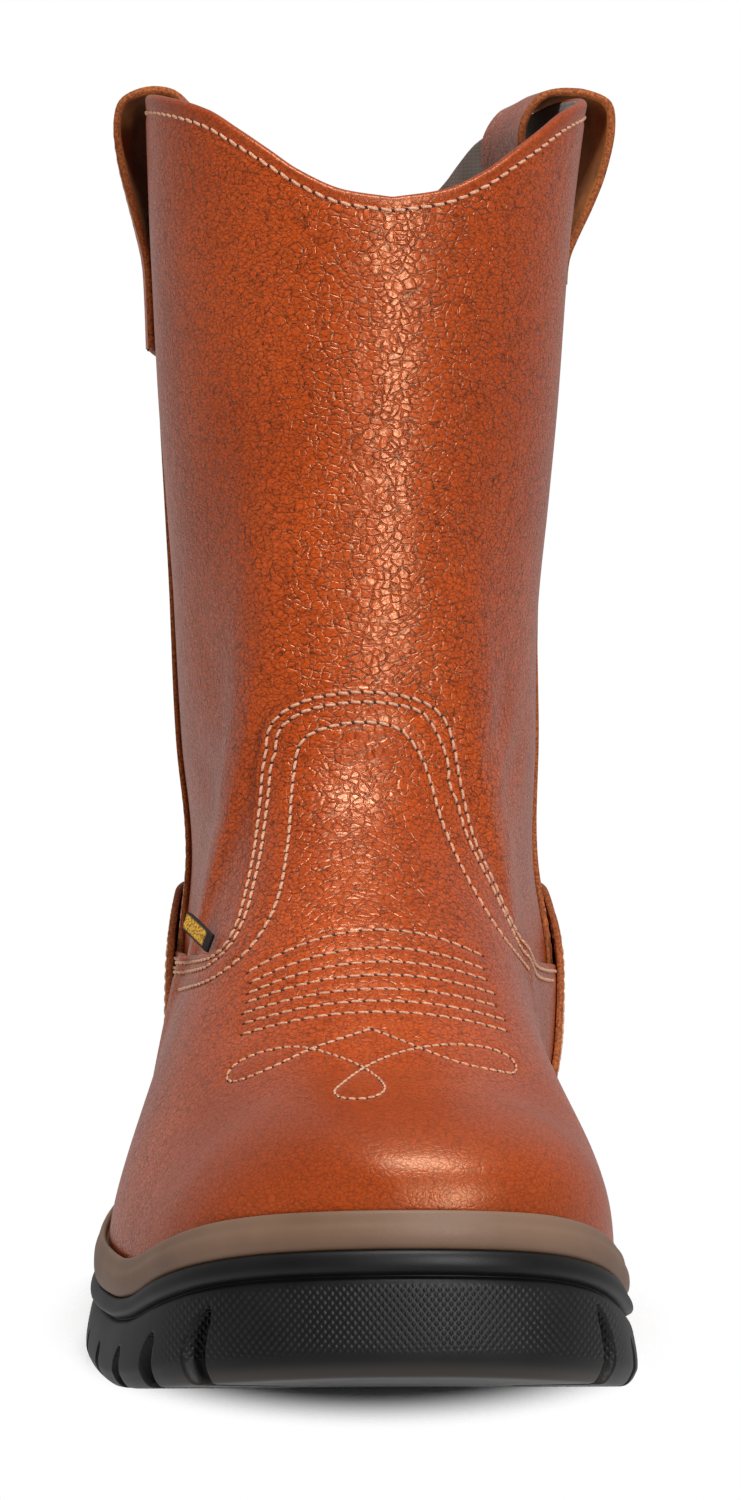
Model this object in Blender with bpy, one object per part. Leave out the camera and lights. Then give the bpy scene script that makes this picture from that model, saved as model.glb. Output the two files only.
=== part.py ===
"""Pull-on leather work boot for the right foot, standing empty on its sole.

The toe points along -Y, the inner (medial) side of the foot is +X and +Z is up. All design values are
in millimetres and are scaled to metres when a mesh is made. The origin is on the floor, under the middle
of the boot's box.
"""

import math

import bmesh
import bpy
import numpy as np

METRES = 0.001

# Driving dimensions
SOLE_LENGTH = 306.0
SOLE_WIDTH = 113.8
HEEL_SEAT_HEIGHT = 40.0
COLLAR_DIP_HEIGHT = 247.0
LEATHER_WALL = 2.3
OVERLAY_GAP = 0.6
OVERLAY_THICKNESS = 1.6
BACK_PANEL_STEP = 1.4
SEAT_GAP = 0.3
FEATHER_INSET = 6.8
MIDSOLE_INSET = 1.5
INSOLE_INSET = 12.0
INSOLE_THICKNESS = 4.0
STRAP_THICKNESS = 1.7
TAG_THICKNESS = 1.2

# Where the sides of the boot are divided, in degrees round from the toe: minus is lateral, plus is medial
SEAM_LATERAL = -91.0
SEAM_MEDIAL = 92.0
SEAM_STEP_HALF = 0.5
VAMP_SEAM_GAP = 1.0
COUNTER_SEAM_GAP = 0.7
SHAFT_TWIST = 7.0

# Plan of the sole: share of SOLE_WIDTH across, share of SOLE_LENGTH along, in order round the edge
OUTLINE = [
    {"across": 0.048, "along": -0.500},
    {"across": -0.130, "along": -0.487},
    {"across": -0.325, "along": -0.431},
    {"across": -0.451, "along": -0.327},
    {"across": -0.511, "along": -0.180},
    {"across": -0.487, "along": -0.060},
    {"across": -0.422, "along": 0.070},
    {"across": -0.384, "along": 0.200},
    {"across": -0.374, "along": 0.310},
    {"across": -0.312, "along": 0.428},
    {"across": -0.160, "along": 0.489},
    {"across": 0.022, "along": 0.500},
    {"across": 0.200, "along": 0.486},
    {"across": 0.335, "along": 0.428},
    {"across": 0.397, "along": 0.310},
    {"across": 0.405, "along": 0.200},
    {"across": 0.402, "along": 0.070},
    {"across": 0.420, "along": -0.060},
    {"across": 0.458, "along": -0.190},
    {"across": 0.473, "along": -0.270},
    {"across": 0.445, "along": -0.370},
    {"across": 0.355, "along": -0.447},
    {"across": 0.215, "along": -0.488},
]

# Heights along the sole: tread, foot of the bead, foot of the midsole and top of the midsole
SOLE_LINES = [
    {"along": -153.0, "tread": 12.0, "bead": 32.2, "midsole": 37.5, "feather": 43.6},
    {"along": -142.0, "tread": 9.4, "bead": 29.6, "midsole": 34.8, "feather": 41.0},
    {"along": -132.0, "tread": 7.3, "bead": 26.6, "midsole": 31.8, "feather": 38.0},
    {"along": -117.0, "tread": 4.4, "bead": 21.4, "midsole": 26.6, "feather": 32.6},
    {"along": -102.0, "tread": 1.9, "bead": 16.4, "midsole": 21.0, "feather": 27.4},
    {"along": -88.0, "tread": 0.4, "bead": 14.2, "midsole": 18.8, "feather": 25.4},
    {"along": -60.0, "tread": 0.0, "bead": 13.4, "midsole": 17.9, "feather": 25.2},
    {"along": -25.0, "tread": 0.0, "bead": 14.6, "midsole": 19.4, "feather": 27.6},
    {"along": 15.0, "tread": 6.5, "bead": 17.8, "midsole": 23.0, "feather": 32.8},
    {"along": 50.0, "tread": 9.5, "bead": 20.8, "midsole": 26.2, "feather": 37.4},
    {"along": 54.0, "tread": 0.0, "bead": 21.0, "midsole": 26.5, "feather": 37.7},
    {"along": 100.0, "tread": 0.0, "bead": 22.6, "midsole": 28.2, "feather": 39.8},
    {"along": 134.0, "tread": 0.0, "bead": 23.0, "midsole": 28.6, "feather": 40.0},
    {"along": 153.0, "tread": 3.5, "bead": 23.0, "midsole": 28.6, "feather": 40.0},
]

# Top line of the foot from the toe over the instep, and down the inside of the heel
RIDGE = [
    {"along": -146.2, "height": 43.6, "roundness": 2.10},
    {"along": -145.2, "height": 48.5, "roundness": 2.10},
    {"along": -140.5, "height": 54.0, "roundness": 2.10},
    {"along": -130.0, "height": 59.0, "roundness": 2.10},
    {"along": -116.0, "height": 62.3, "roundness": 2.10},
    {"along": -102.0, "height": 64.6, "roundness": 2.00},
    {"along": -90.0, "height": 68.4, "roundness": 1.85},
    {"along": -74.0, "height": 76.2, "roundness": 1.65},
    {"along": -55.0, "height": 88.5, "roundness": 1.45},
    {"along": -36.0, "height": 103.5, "roundness": 1.28},
    {"along": -20.0, "height": 119.5, "roundness": 1.20},
    {"along": -10.0, "height": 137.0, "roundness": 1.15},
    {"along": -5.0, "height": 158.0, "roundness": 1.15},
    {"along": 6.0, "height": 178.0, "roundness": 1.15},
    {"along": 60.0, "height": 178.0, "roundness": 1.15},
    {"along": 100.0, "height": 148.0, "roundness": 1.30},
    {"along": 125.0, "height": 116.0, "roundness": 1.60},
    {"along": 138.0, "height": 94.0, "roundness": 1.90},
    {"along": 144.5, "height": 66.0, "roundness": 2.00},
    {"along": 146.2, "height": 40.0, "roundness": 2.00},
]

# Level sections of the shaft: front, back, where it is widest, half width, roundness of the rear half, shift
SHAFT = [
    {"height": 30.0, "front": 8.0, "back": 134.0, "belly": 68.0, "half": 34.0, "taper": 2.15, "shift": 2.0},
    {"height": 44.0, "front": 4.0, "back": 137.0, "belly": 68.0, "half": 37.6, "taper": 2.15, "shift": 2.4},
    {"height": 58.0, "front": 1.0, "back": 139.8, "belly": 68.0, "half": 41.0, "taper": 2.15, "shift": 2.8},
    {"height": 72.0, "front": -1.0, "back": 140.4, "belly": 68.0, "half": 41.4, "taper": 2.15, "shift": 2.8},
    {"height": 99.0, "front": -4.0, "back": 139.4, "belly": 67.0, "half": 38.4, "taper": 2.15, "shift": 1.8},
    {"height": 125.0, "front": -5.0, "back": 139.2, "belly": 66.0, "half": 40.4, "taper": 2.15, "shift": 1.2},
    {"height": 156.0, "front": -5.5, "back": 140.4, "belly": 60.0, "half": 41.5, "taper": 2.10, "shift": 0.6},
    {"height": 180.0, "front": -5.5, "back": 141.6, "belly": 55.0, "half": 43.4, "taper": 2.00, "shift": 0.8},
    {"height": 202.0, "front": -5.5, "back": 143.0, "belly": 52.0, "half": 45.2, "taper": 1.90, "shift": 0.9},
    {"height": 236.0, "front": -5.5, "back": 145.2, "belly": 49.0, "half": 47.2, "taper": 1.85, "shift": 1.2},
    {"height": 255.0, "front": -5.5, "back": 146.2, "belly": 48.0, "half": 48.6, "taper": 1.85, "shift": 1.9},
    {"height": 280.0, "front": -5.5, "back": 147.0, "belly": 47.0, "half": 50.6, "taper": 1.85, "shift": 3.2},
]

# Height of the collar's edge at each angle round from the middle of its front dip
COLLAR = [
    {"angle": 0.0, "height": COLLAR_DIP_HEIGHT},
    {"angle": 10.0, "height": 248.6},
    {"angle": 20.0, "height": 253.1},
    {"angle": 27.0, "height": 257.8},
    {"angle": 34.0, "height": 262.2},
    {"angle": 43.0, "height": 267.0},
    {"angle": 53.0, "height": 269.6},
    {"angle": 66.0, "height": 271.4},
    {"angle": 82.0, "height": 272.2},
    {"angle": 96.0, "height": 271.8},
    {"angle": 106.0, "height": 270.4},
    {"angle": 116.0, "height": 268.9},
    {"angle": 126.0, "height": 267.0},
    {"angle": 133.0, "height": 264.6},
    {"angle": 139.0, "height": 260.4},
    {"angle": 145.0, "height": 255.2},
    {"angle": 152.0, "height": 251.0},
    {"angle": 162.0, "height": 248.2},
    {"angle": 180.0, "height": COLLAR_DIP_HEIGHT},
]

# Height at the back of the heel that belongs to each level, a share of the way up the front line
HEEL_LEVELS = [
    {"level": 0.00, "height": 40.0},
    {"level": 0.05, "height": 46.0},
    {"level": 0.14, "height": 54.0},
    {"level": 0.23, "height": 61.0},
    {"level": 0.37, "height": 76.0},
    {"level": 0.46, "height": 88.0},
    {"level": 0.54, "height": 101.0},
    {"level": 0.62, "height": 118.0},
    {"level": 0.70, "height": 140.0},
    {"level": 0.80, "height": 174.0},
    {"level": 1.00, "height": COLLAR_DIP_HEIGHT},
]

# Upper edge of the vamp from seam to seam: wings at the sides, a tongue up the front of the shaft
VAMP_EDGE = [
    {"angle": -91.0, "level": 0.3420},
    {"angle": -70.0, "level": 0.3440},
    {"angle": -47.0, "level": 0.3480},
    {"angle": -34.0, "level": 0.3520},
    {"angle": -27.0, "level": 0.3580},
    {"angle": -23.4, "level": 0.3700},
    {"angle": -21.4, "level": 0.3950},
    {"angle": -20.2, "level": 0.4500},
    {"angle": -19.2, "level": 0.5550},
    {"angle": -18.0, "level": 0.5900},
    {"angle": -15.0, "level": 0.6050},
    {"angle": -9.0, "level": 0.6170},
    {"angle": 1.0, "level": 0.6225},
    {"angle": 9.0, "level": 0.6190},
    {"angle": 15.0, "level": 0.6100},
    {"angle": 18.5, "level": 0.5925},
    {"angle": 21.5, "level": 0.5520},
    {"angle": 25.5, "level": 0.5000},
    {"angle": 29.5, "level": 0.4675},
    {"angle": 34.0, "level": 0.4400},
    {"angle": 38.5, "level": 0.4100},
    {"angle": 49.0, "level": 0.3700},
    {"angle": 61.0, "level": 0.3440},
    {"angle": 76.0, "level": 0.3270},
    {"angle": 92.0, "level": 0.3180},
]

# Upper edge of the heel counter, from a side seam round to the back
COUNTER_EDGE = [
    {"angle": 91.0, "level": 0.358},
    {"angle": 97.0, "level": 0.398},
    {"angle": 106.0, "level": 0.434},
    {"angle": 130.0, "level": 0.452},
    {"angle": 180.0, "level": 0.485},
]

# Middle of a pull strap: drop below the collar on each side and stand-off from the wall, outside first
STRAP_PATH = [
    {"lateral": 57.0, "medial": 42.5, "stand_off": 1.3, "inner_pull": 0.0},
    {"lateral": 46.0, "medial": 39.5, "stand_off": 1.3, "inner_pull": 0.0},
    {"lateral": 37.0, "medial": 36.0, "stand_off": 1.5, "inner_pull": 0.0},
    {"lateral": 30.0, "medial": 31.0, "stand_off": 2.4, "inner_pull": 0.0},
    {"lateral": 22.5, "medial": 25.0, "stand_off": 3.6, "inner_pull": 0.0},
    {"lateral": 14.5, "medial": 17.0, "stand_off": 4.8, "inner_pull": 0.0},
    {"lateral": 6.0, "medial": 7.0, "stand_off": 5.3, "inner_pull": 0.0},
    {"lateral": 1.2, "medial": 1.2, "stand_off": 4.5, "inner_pull": 0.0},
    {"lateral": -1.2, "medial": -1.2, "stand_off": 1.9, "inner_pull": 0.0},
    {"lateral": -1.7, "medial": -1.7, "stand_off": -1.8, "inner_pull": 0.1},
    {"lateral": -0.3, "medial": -0.3, "stand_off": -5.2, "inner_pull": 0.5},
    {"lateral": 6.0, "medial": 6.0, "stand_off": -6.6, "inner_pull": 1.0},
    {"lateral": 18.0, "medial": 18.0, "stand_off": -5.8, "inner_pull": 0.7},
    {"lateral": 30.0, "medial": 30.0, "stand_off": -4.6, "inner_pull": 0.2},
    {"lateral": 42.0, "medial": 42.0, "stand_off": -4.0, "inner_pull": 0.0},
]
STRAP_HALF_ANGLE = 13.5
STRAP_REST = 1.3
STRAP_FLARE = 0.3
STRAP_STEP_START = 84.0
STRAP_STEP_RUN = 5.0
STRAP_LATERAL = {"name": "pull_strap_lateral", "angle": -98.0, "drop": "lateral", "bulge": 1.2, "inner_pull": 2.0}
STRAP_MEDIAL = {"name": "pull_strap_medial", "angle": 105.0, "drop": "medial", "bulge": 1.45, "inner_pull": 4.0}

# Side notches between the lugs: place along the sole, half width and share of the wall they climb
NOTCHES_LATERAL = [
    {"along": -131.0, "half": 2.2, "climb": 0.72},
    {"along": -115.0, "half": 1.8, "climb": 0.66},
    {"along": -98.0, "half": 1.6, "climb": 0.66},
    {"along": -79.0, "half": 1.6, "climb": 0.60},
    {"along": -60.0, "half": 1.6, "climb": 0.60},
    {"along": -41.0, "half": 1.6, "climb": 0.60},
    {"along": 72.0, "half": 1.8, "climb": 0.50},
    {"along": 94.0, "half": 1.8, "climb": 0.50},
    {"along": 116.0, "half": 1.8, "climb": 0.50},
]
NOTCHES_MEDIAL = [
    {"along": -127.0, "half": 2.0, "climb": 0.72},
    {"along": -107.0, "half": 1.7, "climb": 0.66},
    {"along": -87.0, "half": 1.6, "climb": 0.62},
    {"along": -67.0, "half": 1.6, "climb": 0.60},
    {"along": -47.0, "half": 1.6, "climb": 0.60},
    {"along": 72.0, "half": 1.8, "climb": 0.50},
    {"along": 94.0, "half": 1.8, "climb": 0.50},
    {"along": 116.0, "half": 1.8, "climb": 0.50},
]
NOTCH_WALL_DEPTH = 3.2
NOTCH_TREAD_DEPTH = 4.0
NOTCH_TREAD_REACH = 21.0
NOTCH_BOW = 1.8
CUTTER_OVERHANG = 4.0

# Short bars cut across the middle of the tread
TREAD_BARS = [-112.0, -94.0, -76.0, -58.0, -40.0, 84.0, 106.0]
TREAD_BAR_HALF_WIDTH = 2.2
TREAD_BAR_HALF_LENGTH = 19.0
TREAD_BAR_DEPTH = 3.5
TREAD_BAR_MARGIN = 5.0

LEATHER = {"name": "leather", "colour": (0.42, 0.125, 0.035), "roughness": 0.45}
STRAP_LEATHER = {"name": "strap_leather", "colour": (0.36, 0.11, 0.03), "roughness": 0.5}
TAUPE = {"name": "taupe_rubber", "colour": (0.21, 0.13, 0.085), "roughness": 0.6}
BLACK_RUBBER = {"name": "black_rubber", "colour": (0.022, 0.021, 0.021), "roughness": 0.65}
FOOTBED = {"name": "footbed_cloth", "colour": (0.16, 0.14, 0.13), "roughness": 0.9}
WOVEN_TAG = {"name": "woven_tag", "colour": (0.03, 0.028, 0.026), "roughness": 0.8}


def column(table, name):
    """One named column of a table as an array."""
    return np.array([row[name] for row in table])


def smooth_curve(xs, ys):
    """A curve through the points that never overshoots between them (monotone cubic)."""
    xs = np.asarray(xs, float)
    ys = np.asarray(ys, float)
    gaps = np.diff(xs)
    slopes = np.diff(ys) / gaps
    tangents = np.empty_like(ys)
    tangents[0] = slopes[0]
    tangents[-1] = slopes[-1]
    for i in range(1, len(xs) - 1):
        before, after = slopes[i - 1], slopes[i]
        if before * after <= 0:
            tangents[i] = 0.0
        else:
            weight_before = 2 * gaps[i] + gaps[i - 1]
            weight_after = gaps[i] + 2 * gaps[i - 1]
            tangents[i] = (weight_before + weight_after) / (weight_before / before + weight_after / after)

    def value(x):
        x = np.clip(x, xs[0], xs[-1])
        i = np.clip(np.searchsorted(xs, x) - 1, 0, len(gaps) - 1)
        t = (x - xs[i]) / gaps[i]
        start = (1 + 2 * t) * (1 - t) ** 2 * ys[i] + t * (1 - t) ** 2 * gaps[i] * tangents[i]
        end = t * t * (3 - 2 * t) * ys[i + 1] + t * t * (t - 1) * gaps[i] * tangents[i + 1]
        return start + end

    return value


def table_curve(table, key, name):
    """The smooth curve of one column of a table against another."""
    return smooth_curve(column(table, key), column(table, name))


def closed_spline(points, samples):
    """A closed curve with continuous curvature through the points, as evenly timed samples."""
    points = np.asarray(points, float)
    count = len(points)
    ahead = np.roll(points, -1, axis=0)
    steps = np.linalg.norm(ahead - points, axis=1) ** 0.5
    system = np.zeros((count, count))
    right = np.zeros_like(points)
    for i in range(count):
        before, here = steps[i - 1], steps[i]
        system[i, i - 1] += before
        system[i, i] += 2 * (before + here)
        system[i, (i + 1) % count] += here
        right[i] = 6 * ((ahead[i] - points[i]) / here - (points[i] - points[i - 1]) / before)
    bends = np.linalg.solve(system, right)
    times = np.concatenate([[0.0], np.cumsum(steps)])
    wanted = np.linspace(0.0, times[-1], samples, endpoint=False)
    i = np.clip(np.searchsorted(times, wanted, side="right") - 1, 0, count - 1)
    h = steps[i][:, None]
    t = (wanted - times[i])[:, None]
    j = (i + 1) % count
    curve = bends[i] * (h - t) ** 3 / (6 * h) + bends[j] * t**3 / (6 * h)
    curve += (points[i] / h - bends[i] * h / 6) * (h - t)
    curve += (points[j] / h - bends[j] * h / 6) * t
    return curve


def inset_loop(loop, inset):
    """A closed outline moved inwards by a distance."""
    along = np.roll(loop, -1, axis=0) - np.roll(loop, 1, axis=0)
    along /= np.linalg.norm(along, axis=1)[:, None]
    inwards = np.stack([along[:, 1], -along[:, 0]], axis=1)
    return loop + inset * inwards


def sole_outline(samples=720):
    """The widest outline of the outsole, round from the toe by the lateral side, at the driving size."""
    shares = np.stack([column(OUTLINE, "across"), column(OUTLINE, "along")], axis=1)
    loop = closed_spline(shares, samples)
    low, high = loop.min(axis=0), loop.max(axis=0)
    middle = np.array([0.5 * (column(OUTLINE, "across").min() + column(OUTLINE, "across").max()), 0.0])
    unit = (loop - 0.5 * (low + high)) / (high - low) + middle
    return unit * np.array([SOLE_WIDTH, SOLE_LENGTH])


def side_walls(loop):
    """Curves that give the lateral and the medial edge of an outline at a place along the sole."""
    toe = int(np.argmin(loop[:, 1]))
    turned = np.roll(loop, -toe, axis=0)
    heel = int(np.argmax(turned[:, 1]))
    lateral = turned[: heel + 1]
    medial = np.concatenate([turned[heel:], turned[:1]])[::-1]

    def edges(along):
        return np.interp(along, lateral[:, 1], lateral[:, 0]), np.interp(along, medial[:, 1], medial[:, 0])

    return edges, turned[0, 1], turned[heel, 1]


OUTER_LOOP = sole_outline()
FEATHER_EDGES, TOE_END, HEEL_END = side_walls(inset_loop(OUTER_LOOP, FEATHER_INSET))

tread_line = table_curve(SOLE_LINES, "along", "tread")
bead_line = table_curve(SOLE_LINES, "along", "bead")
midsole_line = table_curve(SOLE_LINES, "along", "midsole")
feather_line = table_curve(SOLE_LINES, "along", "feather")
ridge_line = table_curve(RIDGE, "along", "height")
roundness = table_curve(RIDGE, "along", "roundness")
shaft_front = table_curve(SHAFT, "height", "front")
shaft_back = table_curve(SHAFT, "height", "back")
shaft_belly = table_curve(SHAFT, "height", "belly")
shaft_half = table_curve(SHAFT, "height", "half")
shaft_taper = table_curve(SHAFT, "height", "taper")
shaft_shift = table_curve(SHAFT, "height", "shift")
collar_height = table_curve(COLLAR, "angle", "height")
heel_level = table_curve(HEEL_LEVELS, "level", "height")
vamp_edge = table_curve(VAMP_EDGE, "angle", "level")
counter_edge = table_curve(COUNTER_EDGE, "angle", "level")

# How the foot's dome and the shaft's oval are rounded, and how softly they run together
DOME_ACROSS = 2.3
MEDIAL_LEAN = 2.6
LEAN_PEAK = 27.0 / 4.0
OVAL = 2.15
BLEND = 12.0
SMALLEST = 0.05


def boot_field(x, y, z):
    """Negative inside the leather's outer form, positive outside, roughly in millimetres."""
    lateral, medial = FEATHER_EDGES(y)
    half = np.maximum(0.5 * (medial - lateral), SMALLEST)
    base = feather_line(y)
    rise = np.maximum(ridge_line(y) - base, SMALLEST)
    up = np.maximum(z - base, 0.0) / rise
    lean = MEDIAL_LEAN * LEAN_PEAK * up**2 * np.maximum(1.0 - up, 0.0)
    across = np.abs(x - 0.5 * (lateral + medial) - lean) / half
    foot = (np.sqrt(across**DOME_ACROSS + up ** roundness(y)) - 1.0) * np.minimum(half, rise)
    beyond = np.maximum(TOE_END - y, y - HEEL_END)
    foot = np.maximum(foot, beyond)

    belly, wide = shaft_belly(z), shaft_half(z)
    ahead = y < belly
    depth = np.where(ahead, belly - shaft_front(z), shaft_back(z) - belly)
    power = np.where(ahead, OVAL, shaft_taper(z))
    oval = (np.abs(x - shaft_shift(z)) / wide) ** power + (np.abs(y - belly) / depth) ** power
    shaft = (oval ** (1.0 / power) - 1.0) * wide

    overlap = np.maximum(BLEND - np.abs(foot - shaft), 0.0) / BLEND
    return np.minimum(foot, shaft) - overlap**2 * BLEND * 0.25


INSTEP_END = -5.0


def front_line():
    """The boot's front profile from toe to collar as a curve of its length: share, place along, height."""
    foot_y = np.linspace(TOE_END, INSTEP_END, 400)
    foot_z = ridge_line(foot_y)
    shaft_z = np.linspace(foot_z[-1], COLLAR_DIP_HEIGHT, 120)[1:]
    y = np.concatenate([foot_y, shaft_front(shaft_z)])
    z = np.concatenate([foot_z, shaft_z])
    length = np.concatenate([[0.0], np.cumsum(np.hypot(np.diff(y), np.diff(z)))])
    return length / length[-1], y, z


FRONT_SHARE, FRONT_Y, FRONT_Z = front_line()
FOOT_FADE = 0.24
SEAM_SWING = 18.0
SEAM_STRAIGHT = 0.62
SWING_POWER = 1.5
SCALLOP_START = 0.66
SCALLOP_POWER = 1.5
FAN_HALF_WIDTH = 46.0
FAN_SPREAD = 0.82
REACH = 190.0
HALVINGS = 36
PROBE = 0.05


def level_height(angle, level, y):
    """Height of a level where it passes a place along the boot, for one column of the leather."""
    front_y = np.interp(level, FRONT_SHARE, FRONT_Y)
    front_z = np.interp(level, FRONT_SHARE, FRONT_Z)
    share = (HEEL_END - y) / (HEEL_END - front_y)
    plane = heel_level(level) + (front_z - heel_level(level)) * share
    toe_rise = feather_line(TOE_END) - HEEL_SEAT_HEIGHT
    flat = HEEL_SEAT_HEIGHT + toe_rise * (HEEL_END - y) / (HEEL_END - TOE_END)
    fade = np.clip(1.0 - level / FOOT_FADE, 0.0, 1.0)
    turned = np.abs((angle - SHAFT_TWIST + 180.0) % 360.0 - 180.0)
    rise = np.clip((level - SCALLOP_START) / (1.0 - SCALLOP_START), 0.0, 1.0) ** SCALLOP_POWER
    return plane + fade * (feather_line(y) - flat) + rise * (collar_height(turned) - COLLAR_DIP_HEIGHT)


def leather(angle, level):
    """Points and outward directions of the leather at angles round from the toe and levels up the front."""
    angle, level = np.broadcast_arrays(np.asarray(angle, float), np.asarray(level, float))
    sideways = np.abs(np.sin(np.radians(angle))) ** SWING_POWER
    swing = SEAM_SWING * np.clip(1.0 - level / SEAM_STRAIGHT, 0.0, 1.0) * sideways
    turn = np.radians(angle + np.where((angle % 360.0) < 180.0, swing, -swing))
    front_y = np.interp(level, FRONT_SHARE, FRONT_Y)
    middle = 0.5 * (HEEL_END + front_y)
    long_half = 0.5 * (HEEL_END - front_y)
    spread = FAN_SPREAD * (long_half**2 - FAN_HALF_WIDTH**2) / long_half
    start_y = middle - spread * np.cos(turn)
    lateral, medial = FEATHER_EDGES(start_y)
    start_x = 0.5 * (lateral + medial)
    way_x = long_half * np.sin(turn)
    way_y = -FAN_HALF_WIDTH * np.cos(turn)
    size = np.hypot(way_x, way_y)
    way_x, way_y = way_x / size, way_y / size

    near = np.zeros_like(start_y)
    far = np.full_like(start_y, REACH)
    for _ in range(HALVINGS):
        middle_way = 0.5 * (near + far)
        y = start_y + middle_way * way_y
        inside = boot_field(start_x + middle_way * way_x, y, level_height(angle, level, y)) < 0.0
        near = np.where(inside, middle_way, near)
        far = np.where(inside, far, middle_way)
    x = start_x + near * way_x
    y = start_y + near * way_y
    z = level_height(angle, level, y)

    slope = np.stack(
        [
            boot_field(x + PROBE, y, z) - boot_field(x - PROBE, y, z),
            boot_field(x, y + PROBE, z) - boot_field(x, y - PROBE, z),
            boot_field(x, y, z + PROBE) - boot_field(x, y, z - PROBE),
        ],
        axis=-1,
    )
    slope[..., 2] = np.where(level <= 0.0, 0.0, slope[..., 2])
    slope /= np.linalg.norm(slope, axis=-1)[..., None]
    return np.stack([x, y, z], axis=-1), slope


def offset_leather(angle, level, offset):
    """The leather moved outwards by an offset, with its lowest row kept on the feather line."""
    point, out = leather(angle, level)
    moved = point + out * np.asarray(offset)[..., None]
    level = np.broadcast_to(level, moved.shape[:-1])
    moved[..., 2] = np.where(level <= 0.0, feather_line(moved[..., 1]), moved[..., 2])
    return moved


def material(finish):
    """A plain material with the finish's colour and roughness."""
    made = bpy.data.materials.get(finish["name"])
    if made is None:
        made = bpy.data.materials.new(finish["name"])
        made.use_nodes = True
        shader = made.node_tree.nodes["Principled BSDF"]
        shader.inputs["Base Color"].default_value = (*finish["colour"], 1.0)
        shader.inputs["Roughness"].default_value = finish["roughness"]
        shader.inputs["Metallic"].default_value = 0.0
    return made


SHARP_DEGREES = 35.0


def add_object(name, bm, finish, collection):
    """A named object from a bmesh in millimetres, shaded smooth, with its faces pointing out."""
    bmesh.ops.scale(bm, vec=(METRES, METRES, METRES), verts=bm.verts)
    bmesh.ops.recalc_face_normals(bm, faces=bm.faces)
    if bm.calc_volume(signed=True) < 0.0:
        bmesh.ops.reverse_faces(bm, faces=bm.faces)
    mesh = bpy.data.meshes.new(name)
    bm.to_mesh(mesh)
    bm.free()
    mesh.shade_smooth()
    mesh.set_sharp_from_angle(angle=math.radians(SHARP_DEGREES))
    mesh.materials.append(material(finish))
    made = bpy.data.objects.new(name, mesh)
    collection.objects.link(made)
    return made


WELD = 0.02


def sheet(bm, points, closed):
    """A grid of points as a sheet of quads; a closed sheet joins its last column to its first."""
    rows, columns = points.shape[:2]
    grid = bmesh.ops.create_grid(bm, x_segments=columns - 1, y_segments=rows - 1, size=1.0)["verts"]
    for vert, place in zip(grid, points.reshape(-1, 3)):
        vert.co = place
    if closed:
        ends = {grid[r * columns + columns - 1]: grid[r * columns] for r in range(rows)}
        bmesh.ops.weld_verts(bm, targetmap=ends)
    bmesh.ops.remove_doubles(bm, verts=[v for v in grid if v.is_valid], dist=WELD)
    return [v for v in grid if v.is_valid]


def boundary(verts):
    """The open edges of the sheet some vertices belong to."""
    return list({edge for vert in verts for edge in vert.link_edges if edge.is_boundary})


def wall(outer, inner, closed):
    """A closed wall between an outer and an inner sheet of the same grid."""
    bm = bmesh.new()
    outside = sheet(bm, outer, closed)
    inside = sheet(bm, inner, closed)
    bmesh.ops.triangulate(bm, faces=bm.faces, quad_method="SHORT_EDGE")
    edges = boundary(outside) + boundary(inside)
    if closed:
        half_way = 0.5 * (outer[..., 2].min() + outer[..., 2].max())
        for at_top in (False, True):
            loop = [e for e in edges if (min(v.co.z for v in e.verts) > half_way) == at_top]
            bmesh.ops.bridge_loops(bm, edges=loop)
    else:
        bmesh.ops.bridge_loops(bm, edges=edges)
    return bm


def side_angles():
    """Column angles round the boot, close together at the tongue's edges and at the side seams."""
    lateral = [-83.0, -72.0, -60.0, -48.0, -37.0, -29.0, -24.0, -21.4, -20.2, -19.2, -18.0, -15.0, -8.0]
    medial = [0.0, 8.0, 15.0, 18.5, 21.5, 25.5, 29.5, 33.0, 37.0, 43.0, 51.0, 61.0, 73.0, 84.0]
    rear = [103.0, 117.0, 132.0, 147.0, 163.0]
    steps = [SEAM_LATERAL + SEAM_STEP_HALF, SEAM_LATERAL - SEAM_STEP_HALF]
    steps += [SEAM_MEDIAL - SEAM_STEP_HALF, SEAM_MEDIAL + SEAM_STEP_HALF]
    return np.array(sorted(lateral + medial + rear + [-a for a in rear] + steps + [-180.0, 180.0]))


STEP_FADE_LEVEL = 0.2


def back_step(angle, level):
    """How far the back panel of the shaft stands out behind the side seams, fading in above the sole."""
    behind = (angle < SEAM_LATERAL) | (angle > SEAM_MEDIAL)
    return np.where(behind, BACK_PANEL_STEP * np.clip(level / STEP_FADE_LEVEL, 0.0, 1.0), 0.0)


TOE_LEVELS = np.linspace(0.0, 0.16, 7, endpoint=False)
BALL_LEVELS = np.linspace(0.16, 0.345, 5, endpoint=False)
INSTEP_LEVELS = np.linspace(0.345, 0.68, 10, endpoint=False)
SHAFT_LEVELS = np.linspace(0.68, 1.0, 7)
LEVELS = np.concatenate([TOE_LEVELS, BALL_LEVELS, INSTEP_LEVELS, SHAFT_LEVELS])


def make_upper(collection):
    """The hollow wall of foot and shaft, open at the collar and underneath."""
    angle, level = np.meshgrid(side_angles(), LEVELS)
    outer = offset_leather(angle, level, back_step(angle, level))
    inner = offset_leather(angle, level, np.full_like(level, -LEATHER_WALL))
    return add_object("upper", wall(outer, inner, True), LEATHER, collection)


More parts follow.
